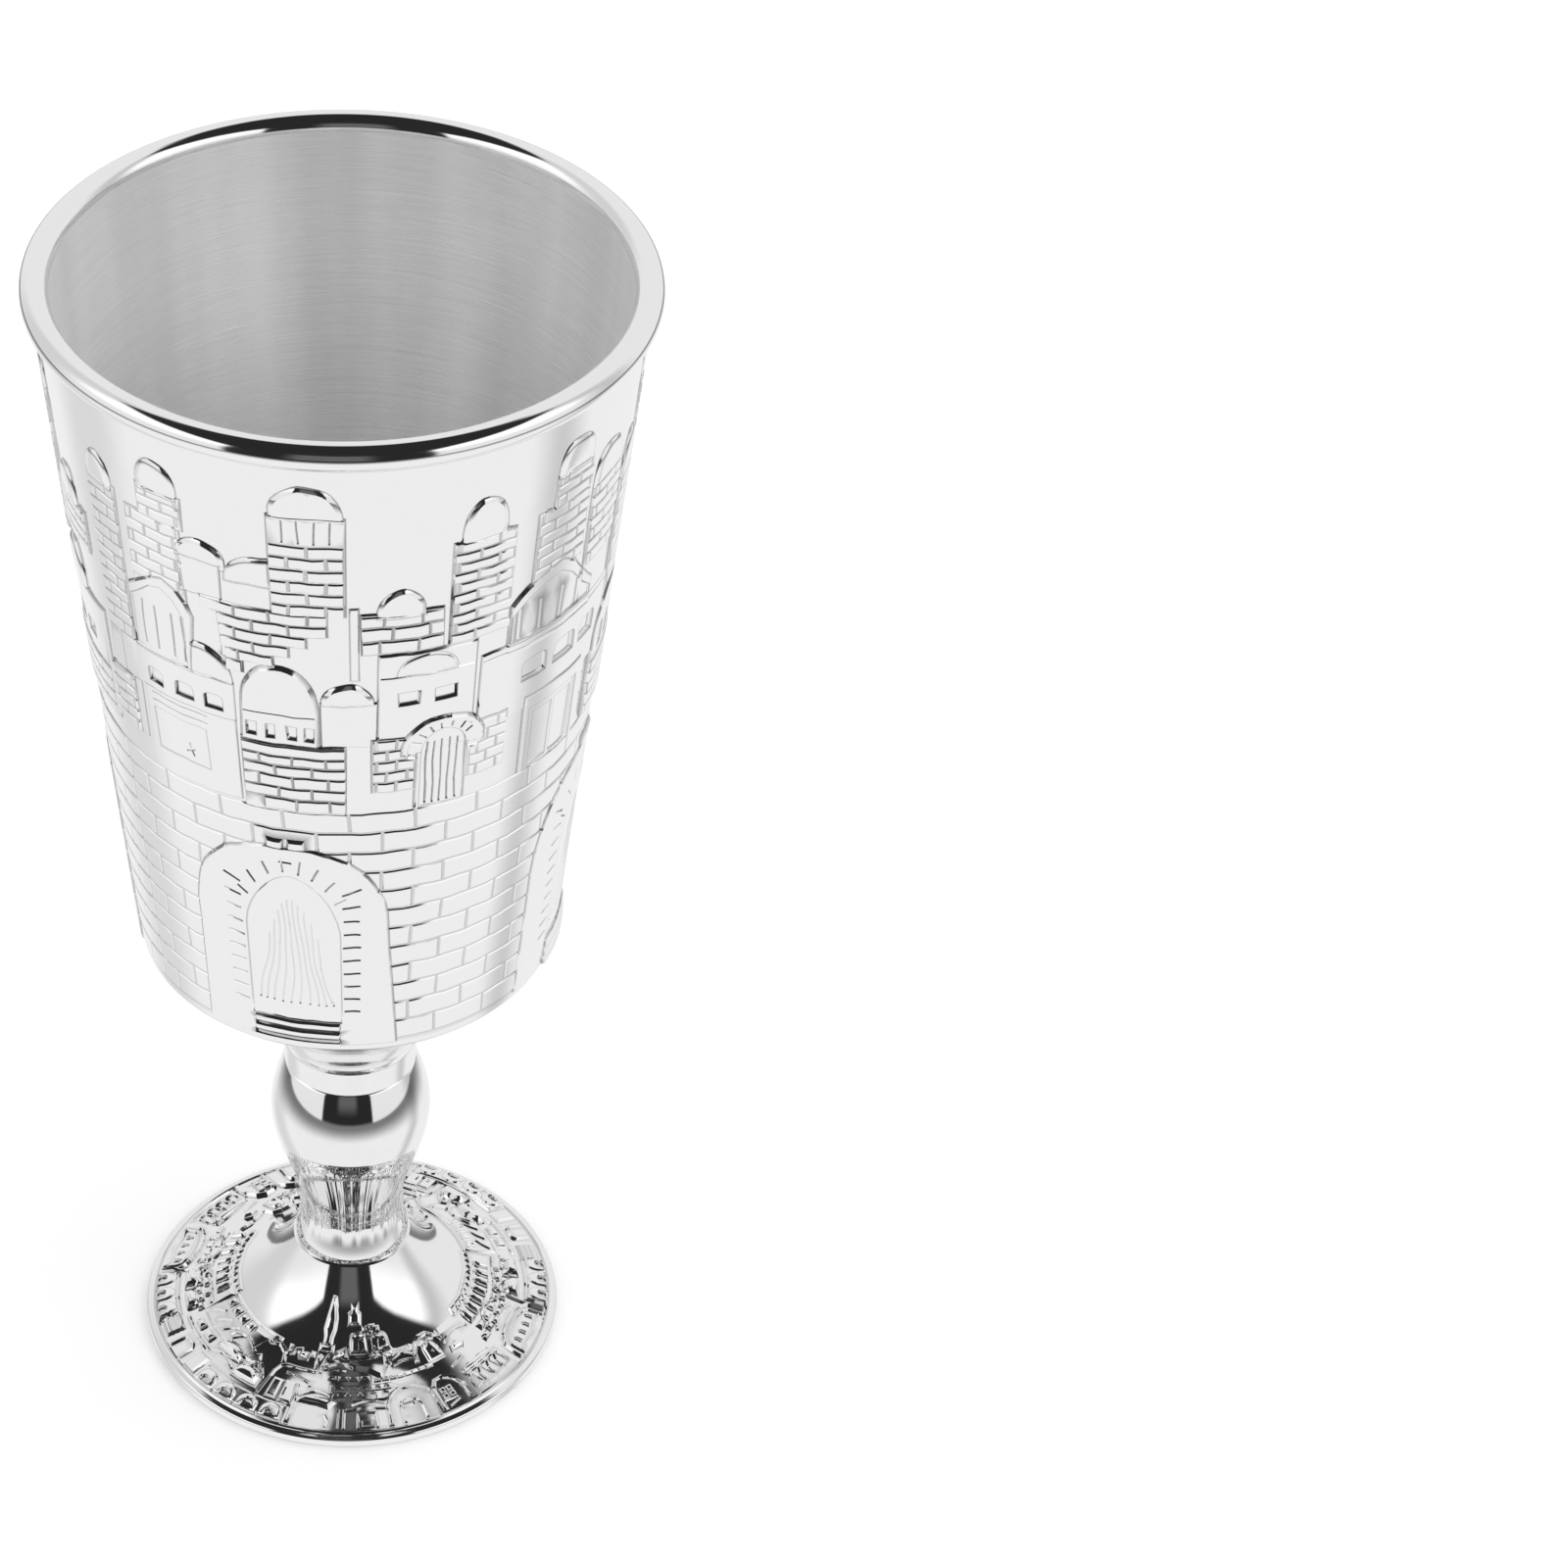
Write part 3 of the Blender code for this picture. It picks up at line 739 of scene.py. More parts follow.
def mirror_silver(name):
    """Polished silver, slightly wavy from the wheel, with upright polishing streaks between waist and knop."""
    material, shader, place = metal(name)
    cloud = place.noise(0.5, 2)
    cloud.shades((0.0, 0.9), (1.0, 0.97)).into(shader, "Base Color")
    rough = 0.03 + 0.05 * cloud
    rough.into(shader, "Roughness")
    level = place.node("ShaderNodeVectorMath", {"operation": "MULTIPLY"}, i0=place, i1=(1, 1, 0))
    around = level.node("ShaderNodeVectorMath", {"operation": "NORMALIZE"}, i0=level)
    rise = place.node("ShaderNodeSeparateXYZ", Vector=place).output("Z")
    streaks = (around.noise(6.0, 2) - 0.5) * rise.rising(14.4, 17.0) * (1 - rise.rising(27.4, 28.4))
    uneven = 0.3 * place.noise(0.12, 1) + 5.0 * streaks
    place.node("ShaderNodeBump", Height=uneven, Strength=1.0, Distance=0.1 * MM).into(shader, "Normal")
    return material


stem_piece = stem.made(mirror_silver("mirror polished silver"))
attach(stem_piece, "root")
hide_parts("stem")

# ---- The bowl
# Sheet silver raised to a tapering beaker with a round bead for its lip. The outside is chased all round with a walled
# city over four great gates and polished; the inside is brushed matte. Its underside is soldered to the collar.

BOWL_BOTTOM = 42.6
BOWL_TOP = 145.0
CORNER_HEIGHT = 60.0
CORNER_RADIUS = 22.99
CORNER_ROUNDING = 1.0
UNDERSIDE_CURVE = 1.35
WALL_TOP_RADIUS = 31.36
LIP_MIDDLE = 31.13
LIP_BEAD = 1.51
BOWL_WALL = 1.2
BOWL_FLOOR = 47.6
LIP_HEIGHT = BOWL_TOP - LIP_BEAD
WALL_TAPER = (WALL_TOP_RADIUS - CORNER_RADIUS) / (LIP_HEIGHT - CORNER_HEIGHT)
SHEET_LOW = 60.75
SHEET_HIGH = 141.6
SHEET_RADIUS = 27.0
DEGREE = radians(1) * SHEET_RADIUS
SEAM = -150.0
LEFT_EDGE = SEAM * DEGREE
RIGHT_EDGE = (SEAM + 360) * DEGREE
BRICK_GAP = 0.22


def wall_radius(height):
    return CORNER_RADIUS + (height - CORNER_HEIGHT) * WALL_TAPER


def brick_courses(work, left, right, low, high, course, brick, start=0.0, rise=0.14, ragged=0.0):
    """Courses of raised bricks. Courses are counted down from the top, and each is set half a brick over."""
    count = max(1, round((high - low) / course))
    course = (high - low) / count
    for i in range(count):
        top = high - course * i - 0.05
        bottom = top - course + BRICK_GAP
        edge = 0 if i % 2 else -2 * ragged
        joints = np.arange(left + start - brick * (2.5 if i % 2 else 2.0), right + brick, brick)
        ends = [left - edge, *[j for j in joints if left + 0.9 < j < right - 0.9], right + edge]
        for a, b in zip(ends, ends[1:]):
            half = BRICK_GAP / 2 / DEGREE * 0.9
            # Each brick's outline is painted dark, as shade in the joints round it.
            work.add(box(a + half, b - half, bottom, top), rise, 0.13, dark=0.65)


def brick_rows(work, rows):
    """Bricks placed one by one: each row is its bottom, its top and the ends of its bricks."""
    for bottom, top, *bricks in rows:
        for a, b in bricks:
            # Each brick's outline is painted dark, as shade in the joints round it.
            work.add(box(a - 0.06, b + 0.06, bottom - 0.03, top + 0.03), 0.14, 0.14)


def domed(work, left, right, low, base, top, level, dome_left=None, dome_right=None):
    """A straight body with a round dome that may be narrower."""
    work.lift(box(left, right, low, base), level, 0.16)
    dome_left = left if dome_left is None else dome_left
    dome_right = right if dome_right is None else dome_right
    work.swell(arch(dome_left, dome_right, base - 0.4, base, top, 18, 2.2), 0.0, level + 0.14, 0.75)


def great_gate(work, middle):
    """A broad smooth arch with voussoirs round a door of wavy boards, a keystone and three steps."""
    lift, press, line, add = work.lift, work.press, work.line, work.add
    outer = [(middle - 25.2, 60.9), (middle + 25.2 + 2.2, 60.9)]
    for share in shares(26):
        a, b = cos(pi * share), sin(pi * share)
        outer.append((middle + 24.7 * np.sign(a) * abs(a) ** 0.8, 76.5 + 13.9 * b**0.8))
    lift(outer, 0.3, 0.3)
    door = arch(middle - 10.9, middle + 12.7, 64.9, 77, 86.2, 18, 1.8)
    press(door, 0.12, 0.16, rim=0.8)
    for x in range(-9, 10, 2):
        reach = 1 - (x / 14) ** 2
        points = []
        for share in shares(16):
            wave = 0.9 * sin(4.4 * share + 0.25 * x) * (1 - 0.5 * share)
            place = middle + 0.9 + x * (1 - 0.32 * share) + wave
            points.append((place, 67 + share * (13 * reach + 2.6)))
        line(points, 0.2, 0.34, dark=0.25)
    for i in range(10):
        z = 66.4 + 1.95 * i
        lean = 0.06 * max(0, i - 6) ** 2
        for side, near in ((-1, middle - 11.6), (1, middle + 13.2)):
            line([(near + side * t, z + lean * t * 0.4) for t in (0, 1.5, 3, 4.4)], 0.12, 0.3)
    for turn in (32, 48, 64, 80, 97, 114, 131, 148):
        a, b = cos(radians(turn)), sin(radians(turn))
        points = [(middle + 0.9 + a * (12.4 + 3.4 * t), 77.4 + b * (9.4 + 2 * t)) for t in (0, 0.5, 1)]
        line(points, 0.12, 0.3)
    for a, b in ((-4.2, -0.35), (0.5, 4.9)):
        add(box(middle + a, middle + b, 90.1, 91.5), 0.34, 0.3)
    press(box(middle - 1.7, middle + 1.9, 88.1, 88.5), 0.12, 0.14)
    press(box(middle - 11.2, middle + 12.8, 64.5, 65.1), 0.14, 0.16)
    for i in range(3):
        low = 60.95 + 1.25 * i
        add(box(middle - 10.9 + 0.2 * i, middle + 12.7 - 0.2 * i, low, low + 0.95), 0.42 - 0.1 * i, 0.2)
        press(box(middle - 10.8 + 0.2 * i, middle + 12.6 - 0.2 * i, low + 0.9, low + 1.3), 0.05, 0.08, dark=1)


def city_wall(work, left, right):
    """The long wall of big flat bricks that the gates stand in, under a plain ledge."""
    work.mark(box(left, right, 95.85, 98.0), [0.0], [0.0], True, [0.0])
    course = 2.86
    for i in range(13):
        top = 95.6 - course * i
        bottom = max(top - course + 0.24, 60.9)
        if top - bottom < 0.8:
            continue
        joints = np.arange(left + (7.5 if i % 2 else 0.0), right + 1, 15.0)
        ends = sorted({left, *joints, right})
        for a, b in zip(ends, ends[1:]):
            if b - a > 1.0:
                # Each brick's outline is painted dark, as shade in the joints round it.
                work.add(box(a + 0.24, b - 0.24, bottom, top), 0.13, 0.14, dark=0.5)


def first_quarter(work):
    """A tall domed tower over the front gate, a domed hall under it and towers to both sides."""
    lift, swell, press, line = work.lift, work.swell, work.press, work.line
    lift(box(-58.8, -49.2, 99, 132), 0.14)
    brick_courses(work, -58.8, -49.2, 112.2, 131.8, 1.5, 6.4, ragged=0.28)
    swell(arch(-58.4, -50.2, 131.4, 131.9, 135.3, 16), 0, 0.34, 0.8)
    lift(box(-46.8, -33, 121, 131), 0.16)
    lift(box(-42.9, -32.2, 130.6, 134.9), 0.16)
    brick_courses(work, -46.8, -33, 122.2, 130.9, 1.45, 6.8, 2, ragged=0.26)
    brick_courses(work, -42.9, -32.2, 130.9, 134.8, 1.3, 6.6, 3, ragged=0.26)
    swell(arch(-42.6, -33, 134.4, 134.9, 138.5, 16, 2.3), 0, 0.34, 0.8)
    lift(box(-34, -25, 123, 128.2), 0.12)
    swell(arch(-34.4, -23.6, 127.6, 127.9, 130.4, 14), 0, 0.4, 0.75)
    lift(box(-25, -14.6, 123, 127), 0.12)
    swell(arch(-24, -5, 126, 126.2, 129.9, 18, 2.3), 0, 0.34, 0.75)
    domed(work, -14.9, -0.1, 122.9, 135.8, 139.6, 0.3, -14.4, -0.5)
    for a in (-11.9, -8.95, -5.9, -2.9):
        line([(a, z) for z in (132.5, 133.5, 134.5, 135.5)], 0.12, 0.26)
    press(box(-14.6, -0.4, 135.65, 135.85), 0.1, 0.08)
    brick_courses(work, -14.8, -0.2, 122.9, 132.2, 1.55, 7.3, 0, rise=0.15)
    lift([(-29.9, 121.6), (-26.1, 121.4), (-26.1, 117), (-25.2, 117), (-25.2, 114), (-21.4, 114), (-21.4, 115.6),
          (-14.6, 115.6), (-14.6, 117), (-11.6, 117), (-11.6, 118.5), (-7.8, 118.5), (-7.8, 120), (-3.7, 120),
          (-3.7, 123.2), (-29.9, 123.2)], 0.2)
    brick_rows(work, [
        (121.7, 123, (-29.8, -22.8), (-22.4, -15.6), (-15.2, -8), (-7.5, -3.8)),
        (120.2, 121.5, (-26.2, -19.1), (-18.6, -11.6), (-11.2, -3.9)),
        (118.7, 120, (-26, -22.8), (-22.4, -15.5), (-15.1, -8)),
        (117.2, 118.5, (-26, -19.1), (-18.7, -11.8)),
        (115.8, 117, (-26, -22.4), (-22, -14.8)),
        (114.2, 115.6, (-25, -21.6)),
    ])
    lift(box(0.5, 2.5, 114.2, 124), 0.14)
    lift(box(2.7, 19.6, 117.7, 123.2), 0.22)
    brick_rows(work, [
        (121.6, 122.9, (2.8, 7.1), (7.5, 14.7), (15.1, 19.4)),
        (119.8, 121.3, (2.8, 9), (9.5, 16.4), (16.8, 19.4)),
        (118, 119.5, (2.8, 6.3), (6.7, 14.3), (14.7, 19.4)),
    ])
    swell(arch(5.8, 15.7, 122.6, 123, 126.1, 16), 0, 0.42, 0.7)
    domed(work, 20.6, 34.4, 117.6, 131, 135.9, 0.26, 22.3, 32.4)
    brick_courses(work, 20.6, 34.4, 117.8, 131, 1.37, 8.4, 1.4, rise=0.16, ragged=0.28)
    lift(box(-54, -23.8, 106.8, 112.2), 0.18)
    swell(arch(-38, -24, 112, 112.6, 116.4, 18), 0, 0.4, 0.9)
    lift([(-48.8, 120.3), (-48.8, 112), (-33.2, 112), (-32, 119.6), (-33, 121.2), (-35.4, 122.6), (-38.6, 123.4),
          (-42, 122.9), (-45.4, 121.6)], 0.32, 0.3)
    press([(-48.4, 119), (-48.4, 112.4), (-34, 112.4), (-34, 119), (-36.4, 121), (-39.2, 121.9), (-42.2, 121.6),
           (-45, 120.3)], 0.16, 0.14, rim=1)
    for a in (-45.3, -41.8, -37.4, -34.8):
        line([(a, z) for z in (113, 115, 117, 119)], 0.28, 0.34)
    for a, b in ((-46, -41.8), (-38.6, -33.8), (-31.2, -26.6)):
        press(arch(a, b, 107.9, 109.3, 109.9, 8, 3), 0.3, 0.16, rim=1)
    lift(box(-48, -24, 96, 107), 0.16)
    for z in (106.3, 105.3):
        line([(a, z) for a in np.linspace(-46.2, -31, 8)], 0.1, 0.3)
    press(box(-45.6, -31.4, 99, 104.4), 0.1, 0.14, rim=0.8)
    line([(-36.8, 101.6), (-36.2, 100.6), (-35.4, 99.8)], 0.2, 0.25)
    line([(-37.6, 100.2), (-36.4, 100.5), (-35.2, 100.8)], 0.2, 0.25)
    lift(box(-60.4, -51.2, 99, 106.6), 0.3, 0.25)
    brick_courses(work, -60.4, -51.2, 99.2, 106.4, 1.5, 6, 2)
    lift(box(-5.6, 6.2, 105.2, 111.2), 0.2)
    swell(arch(-5.4, 5.4, 110.9, 111.1, 113.8, 16), 0, 0.46, 0.8)
    lift(box(6.2, 27.6, 105, 117.6), 0.24, 0.25)
    press(box(6.6, 27.2, 114.4, 114.7), 0.1, 0.12)
    swell(arch(10, 23, 114.4, 114.6, 117.4, 16), 0, 0.36, 0.5)
    for a, b in ((10.6, 15.1), (18.3, 23.2)):
        press(box(a, b, 110.5, 112.3), 0.34, 0.2, rim=1)
    lift(box(4.9, 36.2, 98.5, 106.2), 0.3)
    brick_courses(work, 5, 14.4, 98.7, 106, 1.46, 4.4, 1, rise=0.13)
    brick_courses(work, 26.6, 36, 98.7, 106, 1.46, 5, 2, rise=0.13)
    lift(arch(11.3, 30.1, 103.6, 104.6, 108.4, 18), 0.56, 0.3)
    press(arch(12.6, 28.8, 103, 104.4, 107.6, 18), 0.1, 0.14)
    lift(box(14.6, 26.4, 95.8, 104), 0.4, 0.2)
    press(arch(15.6, 25.8, 95.8, 104, 106.6, 14), 0.26, 0.14, rim=1)
    for turn in (30, 52, 74, 96, 118, 140, 158):
        a, b = cos(radians(turn)), sin(radians(turn))
        line([(20.7 + a * (5.6 + t), 104.2 + b * (2.5 + 0.5 * t)) for t in (0, 1, 2)], 0.1, 0.26)
    for a in (17, 18.7, 20.4, 22.2, 24):
        line([(a, z) for z in (96.2, 99, 102, 105)], 0.4, 0.3)
    lift(arch(-23, -5.8, 105, 109.3, 115.8, 24, 2.2), 0.42, 0.4)
    press(box(-22.4, -6.4, 109.2, 109.4), 0.08, 0.08)
    for a in (-20.4, -16.3, -11.7, -7.9):
        press(box(a - 1, a + 1.1, 106, 107.9), 0.3, 0.16, rim=1)
    lift(box(-23.2, -0.3, 95.6, 105.2), 0.32)
    press(box(-23, -0.4, 104.95, 105.15), 0.1, 0.1)
    brick_rows(work, [
        (103.7, 104.9, (-22.9, -0.5)),
        (102.4, 103.5, (-22.9, -19.3), (-18.9, -12.1), (-11.7, -4.9), (-4.5, -0.5)),
        (100.9, 102.1, (-22.9, -16), (-15.5, -8), (-7.6, -0.5)),
        (99.3, 100.7, (-22.9, -19.6), (-19.2, -12), (-11.6, -4.4), (-4, -0.5)),
        (97.8, 99.1, (-22.9, -15.4), (-14.9, -8), (-7.5, -0.5)),
        (96, 97.5, (-18.4, -11.6), (-11.2, -4.2), (-3.8, -0.3)),
    ])


def second_quarter(work):
    """Two towers over a barred arch, a door with a plain frame, and more towers beyond."""
    lift, swell, press, line, add = work.lift, work.swell, work.press, work.line, work.add
    lift(box(39.6, 54.6, 121.6, 130.8), 0.2)
    lift(box(43.6, 55, 130.4, 134.8), 0.2)
    brick_courses(work, 39.6, 54.6, 122.2, 130.8, 1.43, 7, 1, ragged=0.26)
    brick_courses(work, 43.6, 55, 130.8, 134.8, 1.33, 7, 3, ragged=0.26)
    swell(arch(43.8, 54.8, 134.4, 134.8, 138.4, 16, 2.3), 0, 0.34, 0.8)
    domed(work, 56, 68.6, 112, 130, 134, 0.2)
    brick_courses(work, 56, 68.6, 119.6, 130, 1.5, 7, 2, ragged=0.26)
    lift([(34.4, 120.2), (34.4, 113.4), (60.4, 113.4), (60.4, 117.2), (56.6, 119.2), (52.6, 121.9), (48, 123.3),
          (43, 123), (38.6, 121.8)], 0.34, 0.3)
    press([(35, 118.8), (35, 115.2), (59.4, 115.2), (59.4, 116.4), (55.6, 118), (51.6, 120.4), (47.6, 121.7),
           (43.2, 121.5), (39, 120.4)], 0.16, 0.14, rim=1)
    for a in (37, 42.6, 48.8, 54.6):
        add(box(a - 0.6, a + 0.6, 115.3, 119.4), 0.16, 0.22)
    lift(box(28.4, 70, 104.9, 114.9), 0.22)
    line([(a, 114) for a in np.linspace(28.8, 69.6, 20)], 0.1, 0.3)
    for a, b in ((39.2, 46.4), (48.6, 55.8), (58, 64.6)):
        press(arch(a, b, 108.9, 110.8, 111.8, 10, 3), 0.34, 0.22, rim=1)
    lift(box(41, 60.6, 95.6, 106.4), 0.34, 0.25)
    press(box(42.6, 59, 95.7, 104.6), 0.2, 0.16, rim=0.8)
    for a, b in ((44.2, 50.2), (51.2, 57.4)):
        press(box(a, b, 96.2, 103.6), 0.32, 0.16, rim=0.8)
    lift(box(70.6, 84, 97, 126), 0.2)
    brick_courses(work, 70.6, 84, 112, 125.8, 1.5, 7, 1, ragged=0.26)
    swell(arch(71.4, 83.2, 125.6, 126, 130.6, 18), 0, 0.36, 0.8)
    domed(work, 86, 98.6, 116, 134, 138.4, 0.28)
    brick_courses(work, 86, 98.6, 116.2, 134, 1.5, 6.8, 2, ragged=0.26)
    lift(arch(66, 90, 96, 105.4, 112, 24), 0.4, 0.4)
    for a in (70, 74.6, 79.2, 83.8):
        press(arch(a, a + 2.6, 104.4, 106.6, 107.6, 8), 0.3, 0.18, rim=1)
    brick_courses(work, 66.2, 89.8, 96, 103.2, 1.5, 7, 1)
    lift(box(92, 119, 98, 112.4), 0.26)
    swell(arch(96, 110, 112.2, 112.6, 117, 18), 0, 0.42, 0.8)
    for a in (94, 101, 108):
        press(box(a, a + 4.4, 106.6, 108.6), 0.3, 0.18, rim=1)
    brick_courses(work, 92.2, 118.8, 98.2, 104.6, 1.5, 7, 1)
    lift(box(100.4, 117, 119, 124.4), 0.18)
    brick_courses(work, 100.4, 117, 119, 124.4, 1.5, 7, 1)
    swell(arch(103, 113.6, 124, 124.4, 128, 16), 0, 0.36, 0.7)


def on_wall(places):
    """Degrees and height to millimetres on the bowl's sheet, a little uneven as hand work is."""
    turn = np.radians(places[:, 0])
    height = places[:, 1]
    across = 0.05 * np.sin(23 * turn + 0.9 * height) + 0.05 * np.sin(50 * turn - 0.6 * height)
    up = 0.06 * np.sin(34 * turn + 0.5 * height) + 0.04 * np.sin(71 * turn)
    steady = np.clip((height - 61.5) / 3.0, 0, 1)
    return np.column_stack([places[:, 0] * DEGREE + across, height + up * steady])


city = Chasing(on_wall)
for turn in (-180.0, 0.0, 180.0):
    city.turn = turn
    city_wall(city, -59.8, 120.2)
    second_quarter(city)
    first_quarter(city)
    great_gate(city, -14.8)
    great_gate(city, 75.2)
city.marks = [m for m in city.marks if m[0][:, 0].max() > LEFT_EDGE and m[0][:, 0].min() < RIGHT_EDGE]

step = 360 / ROUND
around = SEAM + step * np.arange(ROUND + 1)
borders = [
    (np.column_stack([around * DEGREE, np.full(ROUND + 1, SHEET_LOW)]), False),
    (np.column_stack([around * DEGREE, np.full(ROUND + 1, SHEET_HIGH)]), False),
    ([(LEFT_EDGE, SHEET_LOW), (LEFT_EDGE, SHEET_HIGH)], False),
    ([(RIGHT_EDGE, SHEET_LOW), (RIGHT_EDGE, SHEET_HIGH)], False),
]
filling = [
    (across * DEGREE, up)
    for row, up in enumerate(np.linspace(SHEET_LOW, SHEET_HIGH, 30)[1:-1])
    for across in SEAM + 3.0 * (np.arange(120) + 0.25 + 0.5 * (row % 2))
]


def between_edges(centres):
    x, y = centres.T
    return (x > LEFT_EDGE) & (x < RIGHT_EDGE) & (y > SHEET_LOW) & (y < SHEET_HIGH)


flat, rise, dark, faces = city.worked(borders, filling, between_edges)
left, right = (np.flatnonzero(np.abs(flat[:, 0] - side) < NEAR) for side in (LEFT_EDGE, RIGHT_EDGE))
left = left[np.argsort(flat[left, 1])]
right = right[np.argsort(flat[right, 1])]
flat[left, 0] = LEFT_EDGE
flat[right, 0] = RIGHT_EDGE
flat[right, 1] = flat[left, 1]
rise[right] = rise[left]
dark[right] = dark[left]
for edge in (SHEET_LOW, SHEET_HIGH):
    near = np.round(flat[:, 0] / DEGREE / step) * step * DEGREE
    rim = (np.abs(flat[:, 1] - edge) < NEAR) & (np.abs(near - flat[:, 0]) < NEAR)
    flat[rim, 1] = edge
    flat[rim, 0] = near[rim]
    rise[rim] = 0.0


def on_cone(flat, rise, faces):
    """The bowl's sheet wrapped round its tapering wall."""
    turn = np.radians(flat[:, 0] / DEGREE)
    radius = wall_radius(flat[:, 1])
    long = hypot(1, WALL_TAPER)
    out, around, up = directions(turn)
    outward = (out - up * WALL_TAPER) / long
    along = (up + out * WALL_TAPER) / long
    points = out * radius[:, None] + up * flat[:, 1:] + outward * rise[:, None]
    normals = sheet_normals(flat, rise, faces)
    sideways = normals[..., 0] * SHEET_RADIUS / radius[faces]
    turned = sideways[..., None] * around[faces] + normals[..., 1:2] * along[faces]
    return points, unit(turned + normals[..., 2:] * outward[faces])


def rounded(before, corner, after, radius, steps):
    """The arc that rounds a corner of a profile."""
    corner = Vector(corner)
    back = (Vector(before) - corner).normalized()
    ahead = (Vector(after) - corner).normalized()
    half = back.angle(ahead) / 2
    middle = corner + (back + ahead).normalized() * (radius / sin(half))
    start = corner + back * (radius * cos(half) / sin(half)) - middle
    end = corner + ahead * (radius * cos(half) / sin(half)) - middle
    return [tuple(middle + start.slerp(end, share).normalized() * radius) for share in shares(steps)]


def underside_radius(height):
    share = (height - BOWL_BOTTOM) / (CORNER_HEIGHT - BOWL_BOTTOM)
    return COLLAR + (CORNER_RADIUS - COLLAR) * share**UNDERSIDE_CURVE


def moved(profile, distance):
    """A profile that runs down the outside, moved into the metal."""
    profile = np.array(profile)
    along = unit(np.gradient(profile, axis=0))
    return profile + np.column_stack([along[:, 1], -along[:, 0]]) * distance


bowl = Silverwork("city_bowl")
points, normals = on_cone(flat, rise, faces)
bowl.add(points, faces, normals, painted_shade=dark)
under = [(underside_radius(height), height) for height in np.linspace(CORNER_HEIGHT, BOWL_BOTTOM, 30)]
wall_low = (wall_radius(SHEET_LOW), SHEET_LOW)
corner = rounded(wall_low, under[0], under[1], CORNER_ROUNDING * 0.8, 8)
bowl.turned([wall_low, *corner, *[p for p in under[1:] if p[1] < corner[-1][1] - 0.2]])
bowl.turned([(COLLAR, BOWL_BOTTOM), (0.0, BOWL_BOTTOM)])
turns = np.radians(shares(44, 180, -82))
bead = [(LIP_MIDDLE + LIP_BEAD * cos(turn), LIP_HEIGHT + LIP_BEAD * sin(turn)) for turn in turns]
# The bead's lowest points and the crease under it are painted dark, as shade in the crease.
bowl.turned(bead, painted_shade=np.interp(np.arange(len(bead)), [40, 43], [0.0, 1.0]))
wall_top = wall_radius(SHEET_HIGH)
bowl.turned([bead[-1], (wall_top + 0.04, SHEET_HIGH + 0.1), (wall_top, SHEET_HIGH)], painted_shade=np.array([1.0, 0.9, 0.0]))
mouth_radius = LIP_MIDDLE - LIP_BEAD


def inner_radius(height):
    """The inside follows the wall and draws in a little at the mouth to meet the bead."""
    cone = wall_radius(height) - BOWL_WALL * hypot(1, WALL_TAPER)
    near = max(0.6 - abs(cone - mouth_radius), 0) / 0.6
    return min(cone, mouth_radius) - near**2 * 0.15


side = [(inner_radius(z), z) for z in np.linspace(LIP_HEIGHT, CORNER_HEIGHT + 1.2, 40)]
side[0] = bead[0]
lower = [(underside_radius(z), z) for z in np.linspace(CORNER_HEIGHT, BOWL_FLOOR - BOWL_WALL, 16)]
lower = [tuple(p) for p in moved(lower, BOWL_WALL) if p[1] < CORNER_HEIGHT + 0.4]
bottom = rounded(side[-1], (side[-1][0] - 0.1, lower[0][1] + 0.2), lower[1], 1.6, 6)
lower = [p for p in lower if p[1] < bottom[-1][1] - 0.3]
edge, floor = lower[-1]
floor_line = [(edge * 0.7, floor - 0.15), (edge * 0.35, floor - 0.2), (0.0, floor - 0.2)]
bowl.turned([*side, *bottom, *lower, *floor_line][::-1], slot=1)


def brushed_silver(name):
    """Silver brushed round and round with wire, so that it is matte with fine level lines, and with upright light and
    dark bands of painted reflection in its colour.
    """
    material, shader, place = metal(name)
    shader.inputs["Metallic"].default_value = 0.5
    grain = place.node("ShaderNodeMapping", Vector=place, Scale=(0.05, 0.05, 3.0)).noise(2.0, 4, 0.75)
    cloud = place.node("ShaderNodeMapping", Vector=place, Scale=(1.0, 1.0, 0.05)).noise(0.1, 2)
    # The level grain is the brushing's own tone. The cloud's upright bands are painted reflection of the room's light
    # and dark in the matte inside.
    shade = 0.4 * grain + 0.6 * cloud
    shade.shades((0.34, 0.76), (0.66, 1.0)).into(shader, "Base Color")
    rough = 0.36 + 0.12 * grain
    rough.into(shader, "Roughness")
    place.node("ShaderNodeBump", Height=grain, Strength=0.4, Distance=0.2 * MM).into(shader, "Normal")
    return material


bowl_piece = bowl.made(chased_silver("chased silver of the bowl", 0.06, 0.85), brushed_silver("brushed silver inside"))
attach(bowl_piece, "root")
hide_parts("bowl")

# ---- The table and the light
# The cup stands on a plain white table between two tall white panels, with an open gap towards the camera, a white back
# and a dark ceiling. The silver mirrors all of these; what lies behind the cup is plain white.

TABLE_RADIUS = 0.62
GAP = 35
GAP_TURN = 95
TABLE_EDGE = -14
BEYOND = 400

table = bpy.data.meshes.new("white_table")
table_edge = [(TABLE_RADIUS * cos(radians(a)), TABLE_RADIUS * sin(radians(a)), 0) for a in range(0, 360, 5)]
table.from_pydata(table_edge, [], [range(len(table_edge))])
table_piece = bpy.data.objects.new("white_table", table)
bpy.context.scene.collection.objects.link(table_piece)
paper = bpy.data.materials.new("white paper")
paper.use_nodes = True
white = paper.node_tree.nodes["Principled BSDF"]
white.inputs["Base Color"].default_value = (0.93, 0.93, 0.93, 1)
white.inputs["Roughness"].default_value = 0.9
table.materials.append(paper)
table_piece.visible_glossy = False

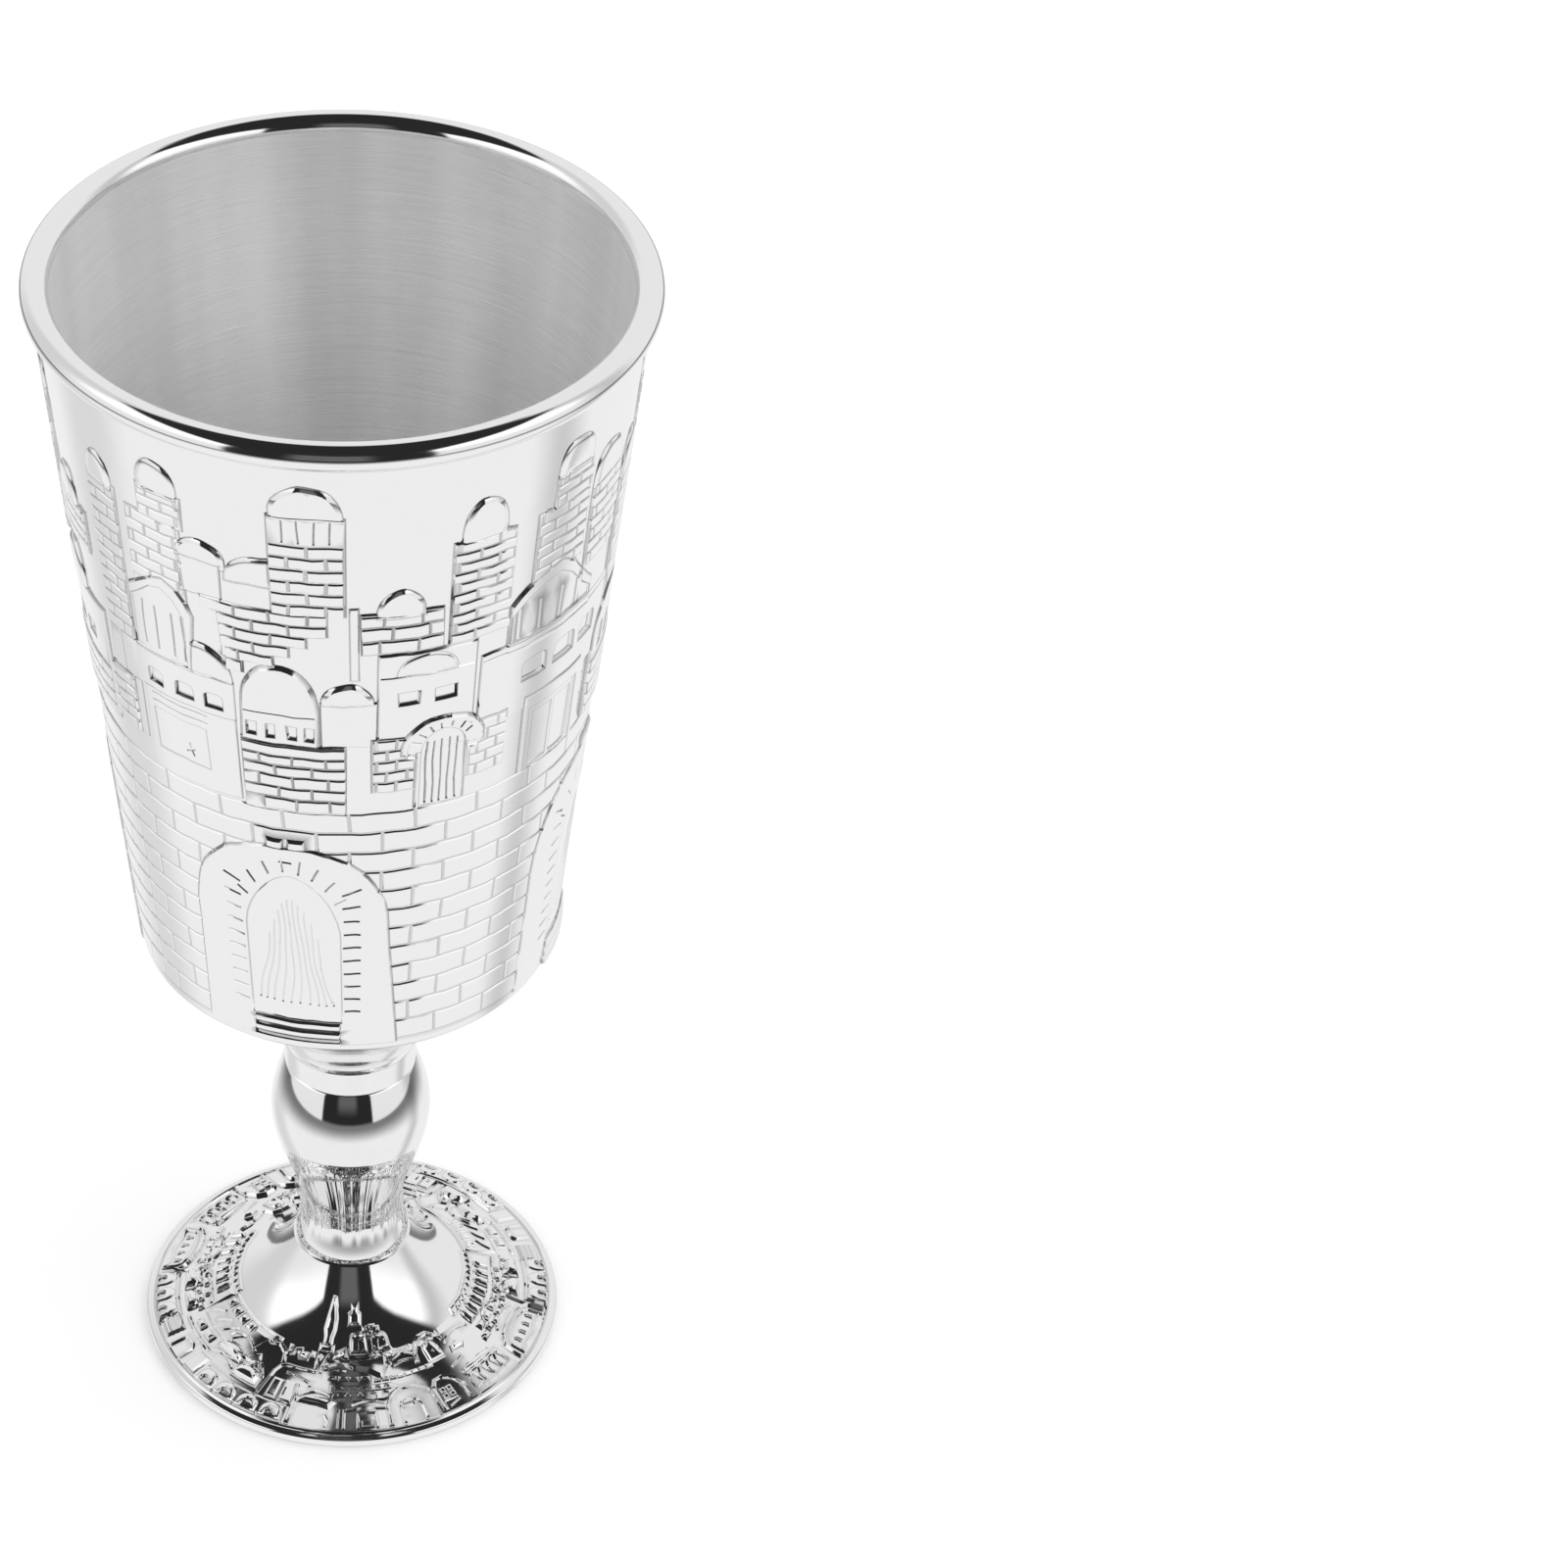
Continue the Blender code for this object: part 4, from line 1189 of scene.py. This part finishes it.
room = bpy.data.worlds.new("studio")
bpy.context.scene.world = room
room.use_nodes = True
tree = room.node_tree
tree.nodes.clear()
start = Value(tree, None)
direction = start.node("ShaderNodeTexCoord")
parts = start.node("ShaderNodeSeparateXYZ", Vector=direction)
x, y, z = (parts.output(axis) for axis in "XYZ")
azimuth = start.sum("ARCTAN2", y, x) * degrees(1)
height = start.sum("ARCSINE", z) * degrees(1)


def between(value, low, high, soft):
    """1 between two angles and 0 outside them, with soft edges."""
    return value.rising(low - soft, low + soft) * (1 - value.rising(high - soft, high + soft))


# Turn is how far a direction lies to the right of the gap between the panels, and away is the same to either side.
turn = start.sum("WRAP", azimuth + GAP_TURN, 180.0, -180.0)
away = start.sum("ABSOLUTE", turn)
share = away * (1 / 180)
tops = ((0.17, 0.30), (0.20, 0.34), (0.25, 0.39), (0.33, 0.45), (0.60, 0.57), (0.68, 0.67), (1.0, 0.69))
top = share.shades(*tops) * 90
# The white panels end at a slanting top and grow brighter upwards; their far ends and two strips are dimmer.
panels = between(away, GAP, BEYOND, 1.5) * between(height - top, -BEYOND, 0, 3) * between(height, TABLE_EDGE, BEYOND, 1)
panels = panels * (0.8 + 0.3 * between(height, 14, 90, 10) * between(away, 0, 95, 8))
darker = 1 - 0.32 * between(turn, 94, 112, 9) - 0.2 * between(turn, -135, -100, 12)
# Someone stands in the gap, the white cloth runs out under the horizon, and the eye sees plain white.
figure = 0.1 * between(away, -10, 13, 4) * between(height, -4, 34, 5)
cloth = between(height, -BEYOND, TABLE_EDGE, 1.5) * (1 - 0.8 * between(height, -24, BEYOND, 8))
light = 0.022 + (panels + 0.87 * cloth) * darker + figure
seen = start.node("ShaderNodeLightPath")
light = light * (1 - seen) + seen
background = start.node("ShaderNodeBackground", Color=light, Strength=1.0)
output = tree.nodes.new("ShaderNodeOutputWorld")
background.into(output, "Surface")

sky = bpy.data.lights.new("soft overhead light", "SUN")
sky.energy = 2.7
sky.angle = radians(100)
sky_light = bpy.data.objects.new("soft overhead light", sky)
sky_light.rotation_euler = (radians(18), radians(8), 0)
sky_light.visible_glossy = False
bpy.context.scene.collection.objects.link(sky_light)

# ---- The camera
# It looks down at the cup from the front, a little turned, from where the photograph was taken.

PAN, TILT, ROLL = 0.11279, 0.66721, 0.06122
PLACE = (0, -0.42366, 0.41391)
FRAME_WIDTH = 36.0
FOCUS_IN_WIDTHS = 5011.66 / 1600
ahead = Vector((sin(PAN) * cos(TILT), cos(PAN) * cos(TILT), -sin(TILT)))
level_right = Vector((cos(PAN), -sin(PAN), 0))
level_up = level_right.cross(ahead)
right_side = level_right * cos(ROLL) + level_up * sin(ROLL)
upper_side = level_up * cos(ROLL) - level_right * sin(ROLL)
lens = bpy.data.cameras.new("camera")
lens.sensor_width = FRAME_WIDTH
lens.lens = FOCUS_IN_WIDTHS * FRAME_WIDTH
lens.clip_start = 0.01
camera = bpy.data.objects.new("camera", lens)
camera.matrix_world = Matrix.Translation(PLACE) @ Matrix((right_side, upper_side, -ahead)).transposed().to_4x4()
bpy.context.scene.collection.objects.link(camera)
bpy.context.scene.camera = camera
bpy.context.scene.view_settings.view_transform = "Standard"

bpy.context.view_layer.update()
